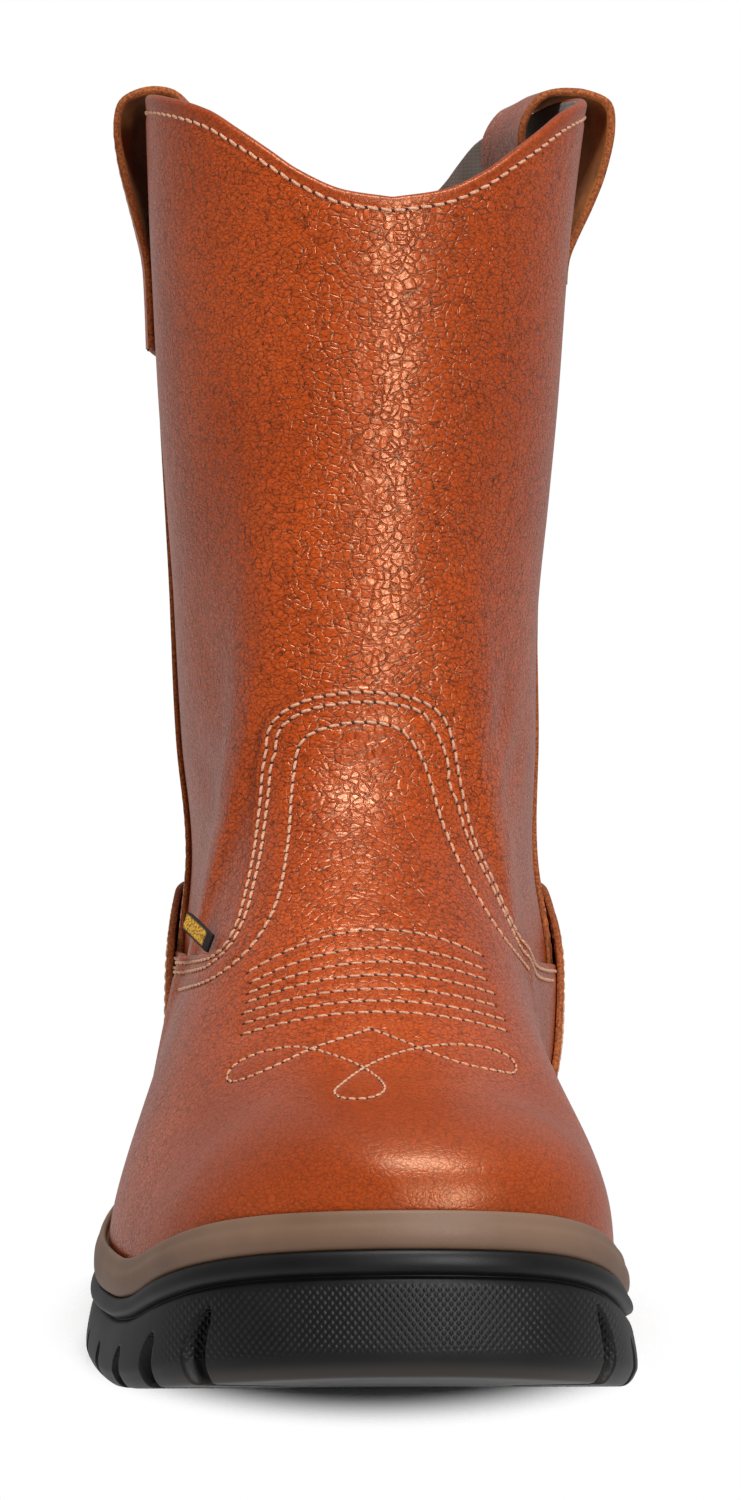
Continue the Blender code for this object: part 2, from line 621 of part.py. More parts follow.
def overlay(name, angles, edge, lift, finish, collection):
    """A leather piece laid over the upper from the feather line to an edge, on the upper's grid lines."""
    top = edge(angles)
    rows = np.append(LEVELS[LEVELS < top.max()], top.max())
    level = np.minimum(rows[:, None], top[None, :])
    angle = np.broadcast_to(angles, level.shape)
    start = lift(angle, level) + OVERLAY_GAP
    inner = offset_leather(angle, level, start)
    outer = offset_leather(angle, level, start + OVERLAY_THICKNESS)
    return add_object(name, wall(outer, inner, False), finish, collection)


def make_vamp(collection):
    """Toe, forefoot and tongue in one piece, ending just ahead of the side seams."""
    angles = side_angles()
    ahead = angles[(angles > SEAM_LATERAL + SEAM_STEP_HALF) & (angles < SEAM_MEDIAL - SEAM_STEP_HALF)]
    angles = np.concatenate([[SEAM_LATERAL + VAMP_SEAM_GAP], ahead, [SEAM_MEDIAL - VAMP_SEAM_GAP]])
    return overlay("vamp", angles, vamp_edge, lambda angle, level: 0.0 * level, LEATHER, collection)


def make_counter(collection):
    """The piece round the heel, lying on the back panel's step."""
    angles = side_angles() % 360.0
    first = SEAM_MEDIAL + COUNTER_SEAM_GAP
    last = 360.0 + SEAM_LATERAL - COUNTER_SEAM_GAP
    behind = np.unique(angles[(angles > first) & (angles < last)])
    angles = np.concatenate([[first], behind, [last]])

    def edge(angle):
        return counter_edge(np.minimum(angle, 360.0 - angle))

    def lift(angle, level):
        return back_step((angle + 180.0) % 360.0 - 180.0, level)

    return overlay("heel_counter", angles, edge, lift, LEATHER, collection)


def level_at(angle, height):
    """The level on the shaft that has a height at an angle, the collar's own level above the collar."""
    samples = np.linspace(SCALLOP_START, 1.0, 40)
    place, _ = leather(angle[..., None], samples)
    found = np.empty_like(angle)
    for index in np.ndindex(angle.shape):
        found[index] = np.interp(height[index], place[index][:, 2], samples)
    return found


def make_strap(strap, collection):
    """A leather loop over one ear of the collar, its two ends lying against the wall."""
    across = np.linspace(-STRAP_HALF_ANGLE, STRAP_HALF_ANGLE, 5) + strap["angle"]
    drop = column(STRAP_PATH, strap["drop"])
    stand_off = column(STRAP_PATH, "stand_off") - strap["inner_pull"] * column(STRAP_PATH, "inner_pull")
    bulge = np.maximum(stand_off - STRAP_REST, 0.0) * strap["bulge"]
    stand_off = np.minimum(stand_off, STRAP_REST) + bulge
    lead = np.stack([np.gradient(stand_off), np.gradient(-drop)], axis=1)
    lead /= np.linalg.norm(lead, axis=1)[:, None]
    sheets = []
    for side in (1.0, -1.0):
        off = stand_off + side * 0.5 * STRAP_THICKNESS * lead[:, 1]
        below = drop + side * 0.5 * STRAP_THICKNESS * lead[:, 0]
        angle, below = np.meshgrid(across, below)
        frontness = (strap["angle"] - angle) / STRAP_HALF_ANGLE * np.sign(strap["angle"])
        off = off[:, None] + STRAP_FLARE * frontness * bulge[:, None]
        edge_z = collar_height(np.abs(angle - SHAFT_TWIST))
        level = level_at(angle, edge_z - below)
        over = BACK_PANEL_STEP * np.clip((np.abs(angle) - STRAP_STEP_START) / STRAP_STEP_RUN, 0.0, 1.0)
        off = off + np.where(off > 0.0, over, 0.0)
        place, out = leather(angle, level)
        out = out * np.array([1.0, 1.0, 0.0])
        out /= np.linalg.norm(out, axis=-1)[..., None]
        place = place + out * off[..., None]
        place[..., 2] = edge_z - below
        sheets.append(place)
    return add_object(strap["name"], wall(sheets[0], sheets[1], False), STRAP_LEATHER, collection)


TAG_MIDDLE = {"angle": -37.4, "level": 0.377}
TAG_LENGTH = 9.5
TAG_WIDTH = 6.1
TAG_TURN = math.radians(30.5)
TAG_DEGREE = 1.3
TAG_LEVEL = 240.0
TAG_GAP = 0.5
TAG_LIFT = 4.2


def tag_sheet(columns, rows):
    """Angles, levels and shares of its length over a turned tab, from its caught end to its free end."""
    along, across = np.meshgrid(np.linspace(0.0, 1.0, columns), np.linspace(-0.5, 0.5, rows))
    back = TAG_LENGTH * (along - 0.5) * math.cos(TAG_TURN) - TAG_WIDTH * across * math.sin(TAG_TURN)
    up = TAG_LENGTH * (along - 0.5) * math.sin(TAG_TURN) + TAG_WIDTH * across * math.cos(TAG_TURN)
    return TAG_MIDDLE["angle"] - back / TAG_DEGREE, TAG_MIDDLE["level"] + up / TAG_LEVEL, along


def make_tag(collection):
    """A small woven tab held in the vamp's edge on the lateral side, its free end off the shaft."""
    angle, level, along = tag_sheet(5, 4)
    gap = TAG_GAP + TAG_LIFT * along
    inner = offset_leather(angle, level, gap)
    outer = offset_leather(angle, level, gap + TAG_THICKNESS)
    return add_object("side_tag", wall(outer, inner, False), WOVEN_TAG, collection)


TOE_ROUND = 26.0
HEEL_ROUND = 30.0
FOREFOOT_STATIONS = [-117.0, -104.0, -90.0, -74.0, -56.0, -38.0, -22.0]
WAIST_STATIONS = [-6.0, 12.0, 30.0]
HEEL_STATIONS = [50.0, 54.0, 72.0, 92.0, 110.0]


def ladder_stations():
    """Places along the sole where its outline is read, closer together at toe, heel and heel breast."""
    turn = np.linspace(0.0, 0.5 * np.pi, 7)[1:]
    toe = -0.5 * SOLE_LENGTH + TOE_ROUND * (1.0 - np.cos(turn))
    heel = 0.5 * SOLE_LENGTH - HEEL_ROUND * (1.0 - np.cos(turn[::-1]))
    return np.concatenate([toe, FOREFOOT_STATIONS, WAIST_STATIONS, HEEL_STATIONS, heel])


def base_ring():
    """The sole's outline as points in pairs across: toe tip, lateral side, heel end, medial side."""
    toe = int(np.argmin(OUTER_LOOP[:, 1]))
    turned = np.roll(OUTER_LOOP, -toe, axis=0)
    heel = int(np.argmax(turned[:, 1]))
    edges, _, _ = side_walls(OUTER_LOOP)
    stations = ladder_stations()
    lateral, medial = edges(stations)
    lateral_side = np.stack([lateral, stations], axis=1)
    medial_side = np.stack([medial, stations], axis=1)[::-1]
    return np.concatenate([turned[:1], lateral_side, turned[heel : heel + 1], medial_side])


def outline_normals(ring):
    """Inward directions at the points of the ring, read from the finely sampled outline."""
    fine = inset_loop(OUTER_LOOP, 1.0) - OUTER_LOOP
    nearest = np.argmin(((ring[:, None, :] - OUTER_LOOP[None, :, :]) ** 2).sum(axis=2), axis=1)
    return fine[nearest]


RING = base_ring()
RING_INWARDS = outline_normals(RING)


def ring_at(inset, line, lift):
    """One closed ring of the sole: the outline moved inwards, at a height above a line along the sole."""
    flat = RING + inset * RING_INWARDS
    return np.column_stack([flat, line(flat[:, 1]) + lift])


def stacked_rings(rings):
    """A closed solid from rings stacked one on the next, with ladder-like caps at both ends."""
    bm = bmesh.new()
    count = len(rings[0])
    lowest = bmesh.ops.create_circle(bm, segments=count, radius=1.0, cap_ends=False)["verts"]
    for vert, place in zip(lowest, rings[0]):
        vert.co = place
    layers = [lowest]
    edges = list(bm.edges)
    for ring in rings[1:]:
        made = bmesh.ops.extrude_edge_only(bm, edges=edges)["geom"]
        edges = [g for g in made if isinstance(g, bmesh.types.BMEdge) and g.is_boundary]
        fresh = [g for g in made if isinstance(g, bmesh.types.BMVert)]
        below = layers[-1]
        above = []
        for vert in below:
            above.append(next(e.other_vert(vert) for e in vert.link_edges if e.other_vert(vert) in fresh))
        for vert, place in zip(above, ring):
            vert.co = place
        layers.append(above)
    half = count // 2
    for layer in (layers[0], layers[-1]):
        for i in range(half):
            rung = [layer[i], layer[i + 1], layer[-i - 1], layer[-i]]
            bm.faces.new(dict.fromkeys(rung))
    return bm


# Wall of the outsole: inset from the outline, share of the way from tread to bead, and lift above that
WALL_RINGS = [
    {"inset": 2.8, "share": 0.0, "lift": 0.0},
    {"inset": 0.6, "share": 0.10, "lift": 0.6},
    {"inset": -0.4, "share": 0.32, "lift": 0.0},
    {"inset": 0.8, "share": 0.78, "lift": 0.0},
    {"inset": 1.5, "share": 1.0, "lift": -0.7},
    {"inset": 2.6, "share": 1.0, "lift": 0.0},
]
BEAD_INSET = 1.0
BEAD_CROWN_INSET = 0.8
BEAD_TOP_INSET = 2.4


def between(share):
    """A line part of the way up the outsole's wall, from the tread to the bead."""
    return lambda y: tread_line(y) + share * (bead_line(y) - tread_line(y))


def bead_middle(y):
    """Half way up the bead."""
    return 0.5 * (bead_line(y) + midsole_line(y))


def notch_cutter(bm, notch, edge_index):
    """One side notch: a stack of rectangles, deep under the tread, shallow and bowed up the wall."""
    along = notch["along"]
    edges, _, _ = side_walls(OUTER_LOOP)
    place = np.array([edges(along)[edge_index], along])
    inwards = outline_normals(place[None, :])[0]
    forwards = np.array([-inwards[1], inwards[0]])
    floor = float(tread_line(along))
    top = floor + notch["climb"] * (float(bead_line(along)) - floor)
    shelf = floor + NOTCH_TREAD_DEPTH
    rungs = [
        {"z": floor - CUTTER_OVERHANG, "width": 1.0, "deep": NOTCH_TREAD_REACH, "bow": 0.0},
        {"z": shelf, "width": 1.0, "deep": NOTCH_TREAD_REACH, "bow": 0.6},
        {"z": shelf + 0.2, "width": 1.0, "deep": NOTCH_WALL_DEPTH, "bow": 0.6},
        {"z": 0.5 * (shelf + top), "width": 0.8, "deep": NOTCH_WALL_DEPTH, "bow": 1.0},
        {"z": top, "width": 0.2, "deep": NOTCH_WALL_DEPTH, "bow": 0.2},
    ]
    outside = -CUTTER_OVERHANG
    layers = []
    for rung in rungs:
        half = rung["width"] * notch["half"]
        corners = []
        for side, reach in ((-1, outside), (1, outside), (1, rung["deep"]), (-1, rung["deep"])):
            flat = place + inwards * reach + forwards * (side * half + rung["bow"] * NOTCH_BOW)
            corners.append(bm.verts.new((*flat, rung["z"])))
        layers.append(corners)
    for below, above in zip(layers, layers[1:]):
        for i in range(4):
            bm.faces.new([below[i], below[(i + 1) % 4], above[(i + 1) % 4], above[i]])
    bm.faces.new(layers[0][::-1])
    bm.faces.new(layers[-1])


def make_cutters(collection):
    """All notches and tread bars as one hidden cutter."""
    bm = bmesh.new()
    for edge_index, notches in enumerate((NOTCHES_LATERAL, NOTCHES_MEDIAL)):
        for notch in notches:
            notch_cutter(bm, notch, edge_index)
    edges, _, _ = side_walls(OUTER_LOOP)
    for along in TREAD_BARS:
        lateral, medial = edges(along)
        half = min(TREAD_BAR_HALF_LENGTH, 0.5 * (medial - lateral) - NOTCH_TREAD_REACH - TREAD_BAR_MARGIN)
        size = (2 * half, 2 * TREAD_BAR_HALF_WIDTH, TREAD_BAR_DEPTH + CUTTER_OVERHANG)
        floor = float(tread_line(along))
        middle = (0.5 * (lateral + medial), along, floor + 0.5 * (TREAD_BAR_DEPTH - CUTTER_OVERHANG))
        bar = bmesh.ops.create_cube(bm, size=1.0)["verts"]
        bmesh.ops.scale(bm, vec=size, verts=bar)
        bmesh.ops.translate(bm, vec=middle, verts=bar)
    cutter = add_object("tread_cutter", bm, BLACK_RUBBER, collection)
    cutter.hide_render = True
    cutter.display_type = "WIRE"
    return cutter


def make_outsole(collection, cutters):
    """Black rubber: tread, flared wall, groove and bead, with notches cut between the lugs."""
    rings = [ring_at(row["inset"], between(row["share"]), row["lift"]) for row in WALL_RINGS]
    rings += [
        ring_at(BEAD_INSET, bead_line, 1.0),
        ring_at(BEAD_CROWN_INSET, bead_middle, 0.4),
        ring_at(BEAD_TOP_INSET, midsole_line, -SEAT_GAP),
    ]
    outsole = add_object("outsole", stacked_rings(rings), BLACK_RUBBER, collection)
    cut = outsole.modifiers.new("lugs", "BOOLEAN")
    cut.operation = "DIFFERENCE"
    cut.solver = "EXACT"
    cut.object = cutters
    return outsole


LIP_HEIGHT = 1.6
LIP_END = 38.0
LIP_FADE = 24.0
LIP_CLEARANCE = 0.9
LIP_INNER_INSET = FEATHER_INSET - OVERLAY_GAP - OVERLAY_THICKNESS - LIP_CLEARANCE
BELLY_SHARE = 0.45


def lip_line(y):
    """Top of the rim round the leather, sinking to just under the feather line behind the side seams."""
    share = np.clip((LIP_END - y) / LIP_FADE, 0.0, 1.0)
    return feather_line(y) - SEAT_GAP + share * (LIP_HEIGHT + SEAT_GAP)


def belly_line(y):
    """Height of the widest place on the midsole's rounded side."""
    return midsole_line(y) + BELLY_SHARE * (feather_line(y) - midsole_line(y))


def make_midsole(collection):
    """Taupe layer with a rounded rim that stands a little way up round the leather."""
    rings = [
        ring_at(BEAD_TOP_INSET + 0.4, midsole_line, 0.0),
        ring_at(MIDSOLE_INSET + 0.2, midsole_line, 0.8),
        ring_at(MIDSOLE_INSET, belly_line, 0.0),
        ring_at(MIDSOLE_INSET + 0.6, feather_line, -1.2),
        ring_at(MIDSOLE_INSET + 1.3, lip_line, -0.5),
        ring_at(LIP_INNER_INSET - 0.2, lip_line, 0.0),
        ring_at(LIP_INNER_INSET, feather_line, -SEAT_GAP - 0.05),
    ]
    return add_object("midsole", stacked_rings(rings), TAUPE, collection)


INSOLE_CHAMFER = 0.8


def make_insole(collection):
    """The footbed on the midsole, clear of the upper's wall."""
    rings = [
        ring_at(INSOLE_INSET, feather_line, 0.0),
        ring_at(INSOLE_INSET, feather_line, INSOLE_THICKNESS - INSOLE_CHAMFER),
        ring_at(INSOLE_INSET + INSOLE_CHAMFER, feather_line, INSOLE_THICKNESS),
    ]
    return add_object("insole", stacked_rings(rings), FOOTBED, collection)


def fresh_collection(name):
    """An empty collection in the scene."""
    made = bpy.data.collections.new(name)
    bpy.context.scene.collection.children.link(made)
    return made


def main():
    for old in list(bpy.data.objects):
        bpy.data.objects.remove(old)
    boot = fresh_collection("work_boot")
    cutters = fresh_collection("cutters")
    make_outsole(boot, make_cutters(cutters))
    make_midsole(boot)
    make_insole(boot)
    make_upper(boot)
    make_vamp(boot)
    make_counter(boot)
    make_strap(STRAP_LATERAL, boot)
    make_strap(STRAP_MEDIAL, boot)
    make_tag(boot)


main()
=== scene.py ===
# %% [markdown]
# # A pull-on work boot, dressed over its solids
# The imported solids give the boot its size, its place and its collision. This lesson lays the leather,
# the thread, the lining and the rubber over them. Every piece is worked out in millimetres from the
# same curves as the solids and scaled to metres when its mesh is made, so nothing has to be fitted.

# %% Load the frame
import math

import bmesh
import bpy
import numpy as np
from mathutils import Matrix, Vector
from mathutils.kdtree import KDTree


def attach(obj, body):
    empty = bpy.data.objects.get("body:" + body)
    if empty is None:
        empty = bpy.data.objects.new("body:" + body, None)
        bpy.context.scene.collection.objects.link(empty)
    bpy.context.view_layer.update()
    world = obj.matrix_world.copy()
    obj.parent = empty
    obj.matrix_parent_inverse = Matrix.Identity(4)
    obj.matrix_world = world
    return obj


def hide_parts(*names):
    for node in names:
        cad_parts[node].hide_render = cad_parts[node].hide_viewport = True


METRES = 0.001
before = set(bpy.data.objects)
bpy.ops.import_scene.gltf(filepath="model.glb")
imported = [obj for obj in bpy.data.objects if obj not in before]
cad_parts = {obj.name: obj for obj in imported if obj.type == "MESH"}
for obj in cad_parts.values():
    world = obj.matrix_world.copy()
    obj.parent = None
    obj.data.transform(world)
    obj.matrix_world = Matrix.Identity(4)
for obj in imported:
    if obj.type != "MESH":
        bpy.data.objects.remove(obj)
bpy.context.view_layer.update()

# %% [markdown]
# ## The camera
# The picture is taken from the front with a long lens, a little to the lateral side and at the height of
# the upper shaft, looking slightly down. A lens could also be shifted instead of tilted, but a tilt keeps
# the object in the middle of every other view. The same numbers give a function that says which pixel a
# point falls on, which later places the decorative stitching.

# %% Camera
IMAGE_WIDTH = 741
IMAGE_HEIGHT = 1500
FOCAL_PIXELS = 6184.0
SENSOR = 36.0
CAMERA_AZIMUTH = math.radians(-1.5)
CAMERA_DISTANCE = 1353.0
CAMERA_HEIGHT = 200.0
CLIP_START = 0.05
CLIP_END = 50.0
LEVEL_PIXEL = {"across": 360.0, "down": 413.7}

sine, cosine = math.sin(CAMERA_AZIMUTH), math.cos(CAMERA_AZIMUTH)
eye = np.array([CAMERA_DISTANCE * sine, -CAMERA_DISTANCE * cosine, CAMERA_HEIGHT])
aim = np.array([-sine, cosine, 0.0])
aim += np.array([cosine, sine, 0.0]) * (0.5 * IMAGE_WIDTH - LEVEL_PIXEL["across"]) / FOCAL_PIXELS
aim -= np.array([0.0, 0.0, 1.0]) * (0.5 * IMAGE_HEIGHT - LEVEL_PIXEL["down"]) / FOCAL_PIXELS
aim /= np.linalg.norm(aim)
rightwards = np.cross(aim, [0.0, 0.0, 1.0])
rightwards /= np.linalg.norm(rightwards)
upwards = np.cross(rightwards, aim)

camera_data = bpy.data.cameras.new("camera")
camera_data.sensor_width = SENSOR
camera_data.lens = FOCAL_PIXELS * SENSOR / IMAGE_HEIGHT
camera_data.clip_start = CLIP_START
camera_data.clip_end = CLIP_END
camera = bpy.data.objects.new("camera", camera_data)
camera.location = Vector(eye) * METRES
camera.rotation_euler = Vector(aim).to_track_quat("-Z", "Y").to_euler()
bpy.context.scene.collection.objects.link(camera)
bpy.context.scene.camera = camera


def pixel_of(points):
    """Where points fall in the photograph: across and down, in its pixels."""
    seen = np.asarray(points) - eye
    depth = seen @ aim
    across = 0.5 * IMAGE_WIDTH + FOCAL_PIXELS * (seen @ rightwards) / depth
    down = 0.5 * IMAGE_HEIGHT - FOCAL_PIXELS * (seen @ upwards) / depth
    return across, down


print("camera lens %.1f mm" % camera_data.lens)

# %% [markdown]
# ## The boot's curves
# A shoemaker starts from a last, a solid foot with a few control lines. Here the last is a function: a
# plan of the sole, the heights along it, the ridge from toe to instep and the level sections of the
# shaft, each a short table with a smooth curve through it. A mesh could be sculpted instead, but a
# function lets every panel, stitch and crease lie exactly on the same surface.

# %% Tables of the sole, the foot and the shaft, in millimetres
SOLE_LENGTH = 306.0
SOLE_WIDTH = 113.8
HEEL_SEAT_HEIGHT = 40.0
COLLAR_DIP_HEIGHT = 247.0
LEATHER_WALL = 2.3
OVERLAY_GAP = 0.6
OVERLAY_THICKNESS = 1.6
BACK_PANEL_STEP = 1.4
SEAT_GAP = 0.3
FEATHER_INSET = 6.8
STRAP_THICKNESS = 1.7
TAG_THICKNESS = 1.2
SEAM_LATERAL = -91.0
SEAM_MEDIAL = 92.0
SHAFT_TWIST = 7.0

# Plan of the sole: share of SOLE_WIDTH across, share of SOLE_LENGTH along, in order round the edge
OUTLINE = [
    {"across": 0.048, "along": -0.500},
    {"across": -0.130, "along": -0.487},
    {"across": -0.325, "along": -0.431},
    {"across": -0.451, "along": -0.327},
    {"across": -0.511, "along": -0.180},
    {"across": -0.487, "along": -0.060},
    {"across": -0.422, "along": 0.070},
    {"across": -0.384, "along": 0.200},
    {"across": -0.374, "along": 0.310},
    {"across": -0.312, "along": 0.428},
    {"across": -0.160, "along": 0.489},
    {"across": 0.022, "along": 0.500},
    {"across": 0.200, "along": 0.486},
    {"across": 0.335, "along": 0.428},
    {"across": 0.397, "along": 0.310},
    {"across": 0.405, "along": 0.200},
    {"across": 0.402, "along": 0.070},
    {"across": 0.420, "along": -0.060},
    {"across": 0.458, "along": -0.190},
    {"across": 0.473, "along": -0.270},
    {"across": 0.445, "along": -0.370},
    {"across": 0.355, "along": -0.447},
    {"across": 0.215, "along": -0.488},
]

# Heights along the sole: tread, foot of the bead, foot of the midsole and top of the midsole
SOLE_LINES = [
    {"along": -153.0, "tread": 12.0, "bead": 32.2, "midsole": 37.5, "feather": 43.6},
    {"along": -142.0, "tread": 9.4, "bead": 29.6, "midsole": 34.8, "feather": 41.0},
    {"along": -132.0, "tread": 7.3, "bead": 26.6, "midsole": 31.8, "feather": 38.0},
    {"along": -117.0, "tread": 4.4, "bead": 21.4, "midsole": 26.6, "feather": 32.6},
    {"along": -102.0, "tread": 1.9, "bead": 16.4, "midsole": 21.0, "feather": 27.4},
    {"along": -88.0, "tread": 0.4, "bead": 14.2, "midsole": 18.8, "feather": 25.4},
    {"along": -60.0, "tread": 0.0, "bead": 13.4, "midsole": 17.9, "feather": 25.2},
    {"along": -25.0, "tread": 0.0, "bead": 14.6, "midsole": 19.4, "feather": 27.6},
    {"along": 15.0, "tread": 6.5, "bead": 17.8, "midsole": 23.0, "feather": 32.8},
    {"along": 50.0, "tread": 9.5, "bead": 20.8, "midsole": 26.2, "feather": 37.4},
    {"along": 54.0, "tread": 0.0, "bead": 21.0, "midsole": 26.5, "feather": 37.7},
    {"along": 100.0, "tread": 0.0, "bead": 22.6, "midsole": 28.2, "feather": 39.8},
    {"along": 134.0, "tread": 0.0, "bead": 23.0, "midsole": 28.6, "feather": 40.0},
    {"along": 153.0, "tread": 3.5, "bead": 23.0, "midsole": 28.6, "feather": 40.0},
]

# Top line of the foot from the toe over the instep, and down the inside of the heel
RIDGE = [
    {"along": -146.2, "height": 43.6, "roundness": 2.10},
    {"along": -145.2, "height": 48.5, "roundness": 2.10},
    {"along": -140.5, "height": 54.0, "roundness": 2.10},
    {"along": -130.0, "height": 59.0, "roundness": 2.10},
    {"along": -116.0, "height": 62.3, "roundness": 2.10},
    {"along": -102.0, "height": 64.6, "roundness": 2.00},
    {"along": -90.0, "height": 68.4, "roundness": 1.85},
    {"along": -74.0, "height": 76.2, "roundness": 1.65},
    {"along": -55.0, "height": 88.5, "roundness": 1.45},
    {"along": -36.0, "height": 103.5, "roundness": 1.28},
    {"along": -20.0, "height": 119.5, "roundness": 1.20},
    {"along": -10.0, "height": 137.0, "roundness": 1.15},
    {"along": -5.0, "height": 158.0, "roundness": 1.15},
    {"along": 6.0, "height": 178.0, "roundness": 1.15},
    {"along": 60.0, "height": 178.0, "roundness": 1.15},
    {"along": 100.0, "height": 148.0, "roundness": 1.30},
    {"along": 125.0, "height": 116.0, "roundness": 1.60},
    {"along": 138.0, "height": 94.0, "roundness": 1.90},
    {"along": 144.5, "height": 66.0, "roundness": 2.00},
    {"along": 146.2, "height": 40.0, "roundness": 2.00},
]

# Level sections of the shaft: front, back, where it is widest, half width, roundness of the rear half, shift
SHAFT = [
    {"height": 30.0, "front": 8.0, "back": 134.0, "belly": 68.0, "half": 34.0, "taper": 2.15, "shift": 2.0},
    {"height": 44.0, "front": 4.0, "back": 137.0, "belly": 68.0, "half": 37.6, "taper": 2.15, "shift": 2.4},
    {"height": 58.0, "front": 1.0, "back": 139.8, "belly": 68.0, "half": 41.0, "taper": 2.15, "shift": 2.8},
    {"height": 72.0, "front": -1.0, "back": 140.4, "belly": 68.0, "half": 41.4, "taper": 2.15, "shift": 2.8},
    {"height": 99.0, "front": -4.0, "back": 139.4, "belly": 67.0, "half": 38.4, "taper": 2.15, "shift": 1.8},
    {"height": 125.0, "front": -5.0, "back": 139.2, "belly": 66.0, "half": 40.4, "taper": 2.15, "shift": 1.2},
    {"height": 156.0, "front": -5.5, "back": 140.4, "belly": 60.0, "half": 41.5, "taper": 2.10, "shift": 0.6},
    {"height": 180.0, "front": -5.5, "back": 141.6, "belly": 55.0, "half": 43.4, "taper": 2.00, "shift": 0.8},
    {"height": 202.0, "front": -5.5, "back": 143.0, "belly": 52.0, "half": 45.2, "taper": 1.90, "shift": 0.9},
    {"height": 236.0, "front": -5.5, "back": 145.2, "belly": 49.0, "half": 47.2, "taper": 1.85, "shift": 1.2},
    {"height": 255.0, "front": -5.5, "back": 146.2, "belly": 48.0, "half": 48.6, "taper": 1.85, "shift": 1.9},
    {"height": 280.0, "front": -5.5, "back": 147.0, "belly": 47.0, "half": 50.6, "taper": 1.85, "shift": 3.2},
]

# Height of the collar's edge at each angle round from the middle of its front dip
COLLAR = [
    {"angle": 0.0, "height": COLLAR_DIP_HEIGHT},
    {"angle": 10.0, "height": 248.6},
    {"angle": 20.0, "height": 253.1},
    {"angle": 27.0, "height": 257.8},
    {"angle": 34.0, "height": 262.2},
    {"angle": 43.0, "height": 267.0},
    {"angle": 53.0, "height": 269.6},
    {"angle": 66.0, "height": 271.4},
    {"angle": 82.0, "height": 272.2},
    {"angle": 96.0, "height": 271.8},
    {"angle": 106.0, "height": 270.4},
    {"angle": 116.0, "height": 268.9},
    {"angle": 126.0, "height": 267.0},
    {"angle": 133.0, "height": 264.6},
    {"angle": 139.0, "height": 260.4},
    {"angle": 145.0, "height": 255.2},
    {"angle": 152.0, "height": 251.0},
    {"angle": 162.0, "height": 248.2},
    {"angle": 180.0, "height": COLLAR_DIP_HEIGHT},
]

# Height at the back of the heel that belongs to each level, a share of the way up the front line
HEEL_LEVELS = [
    {"level": 0.00, "height": 40.0},
    {"level": 0.05, "height": 46.0},
    {"level": 0.14, "height": 54.0},
    {"level": 0.23, "height": 61.0},
    {"level": 0.37, "height": 76.0},
    {"level": 0.46, "height": 88.0},
    {"level": 0.54, "height": 101.0},
    {"level": 0.62, "height": 118.0},
    {"level": 0.70, "height": 140.0},
    {"level": 0.80, "height": 174.0},
    {"level": 1.00, "height": COLLAR_DIP_HEIGHT},
]

# Upper edge of the vamp from seam to seam: wings at the sides, a tongue up the front of the shaft
VAMP_EDGE = [
    {"angle": -91.0, "level": 0.3420},
    {"angle": -70.0, "level": 0.3440},
    {"angle": -47.0, "level": 0.3480},
    {"angle": -34.0, "level": 0.3520},
    {"angle": -27.0, "level": 0.3580},
    {"angle": -23.4, "level": 0.3700},
    {"angle": -21.4, "level": 0.3950},
    {"angle": -20.2, "level": 0.4500},
    {"angle": -19.2, "level": 0.5550},
    {"angle": -18.0, "level": 0.5900},
    {"angle": -15.0, "level": 0.6050},
    {"angle": -9.0, "level": 0.6170},
    {"angle": 1.0, "level": 0.6225},
    {"angle": 9.0, "level": 0.6190},
    {"angle": 15.0, "level": 0.6100},
    {"angle": 18.5, "level": 0.5925},
    {"angle": 21.5, "level": 0.5520},
    {"angle": 25.5, "level": 0.5000},
    {"angle": 29.5, "level": 0.4675},
    {"angle": 34.0, "level": 0.4400},
    {"angle": 38.5, "level": 0.4100},
    {"angle": 49.0, "level": 0.3700},
    {"angle": 61.0, "level": 0.3440},
    {"angle": 76.0, "level": 0.3270},
    {"angle": 92.0, "level": 0.3180},
]

# Upper edge of the heel counter, from a side seam round to the back
COUNTER_EDGE = [
    {"angle": 91.0, "level": 0.358},
    {"angle": 97.0, "level": 0.398},
    {"angle": 106.0, "level": 0.434},
    {"angle": 130.0, "level": 0.452},
    {"angle": 180.0, "level": 0.485},
]

# Middle of a pull strap: drop below the collar on each side and stand-off from the wall, outside first
STRAP_PATH = [
    {"lateral": 57.0, "medial": 42.5, "stand_off": 1.3, "inner_pull": 0.0},
    {"lateral": 46.0, "medial": 39.5, "stand_off": 1.3, "inner_pull": 0.0},
    {"lateral": 37.0, "medial": 36.0, "stand_off": 1.5, "inner_pull": 0.0},
    {"lateral": 30.0, "medial": 31.0, "stand_off": 2.4, "inner_pull": 0.0},
    {"lateral": 22.5, "medial": 25.0, "stand_off": 3.6, "inner_pull": 0.0},
    {"lateral": 14.5, "medial": 17.0, "stand_off": 4.8, "inner_pull": 0.0},
    {"lateral": 6.0, "medial": 7.0, "stand_off": 5.3, "inner_pull": 0.0},
    {"lateral": 1.2, "medial": 1.2, "stand_off": 4.5, "inner_pull": 0.0},
    {"lateral": -1.2, "medial": -1.2, "stand_off": 1.9, "inner_pull": 0.0},
    {"lateral": -1.7, "medial": -1.7, "stand_off": -1.8, "inner_pull": 0.1},
    {"lateral": -0.3, "medial": -0.3, "stand_off": -5.2, "inner_pull": 0.5},
    {"lateral": 6.0, "medial": 6.0, "stand_off": -6.6, "inner_pull": 1.0},
    {"lateral": 18.0, "medial": 18.0, "stand_off": -5.8, "inner_pull": 0.7},
    {"lateral": 30.0, "medial": 30.0, "stand_off": -4.6, "inner_pull": 0.2},
    {"lateral": 42.0, "medial": 42.0, "stand_off": -4.0, "inner_pull": 0.0},
]
STRAP_HALF_ANGLE = 13.5
STRAP_REST = 1.3
STRAP_FLARE = 0.3
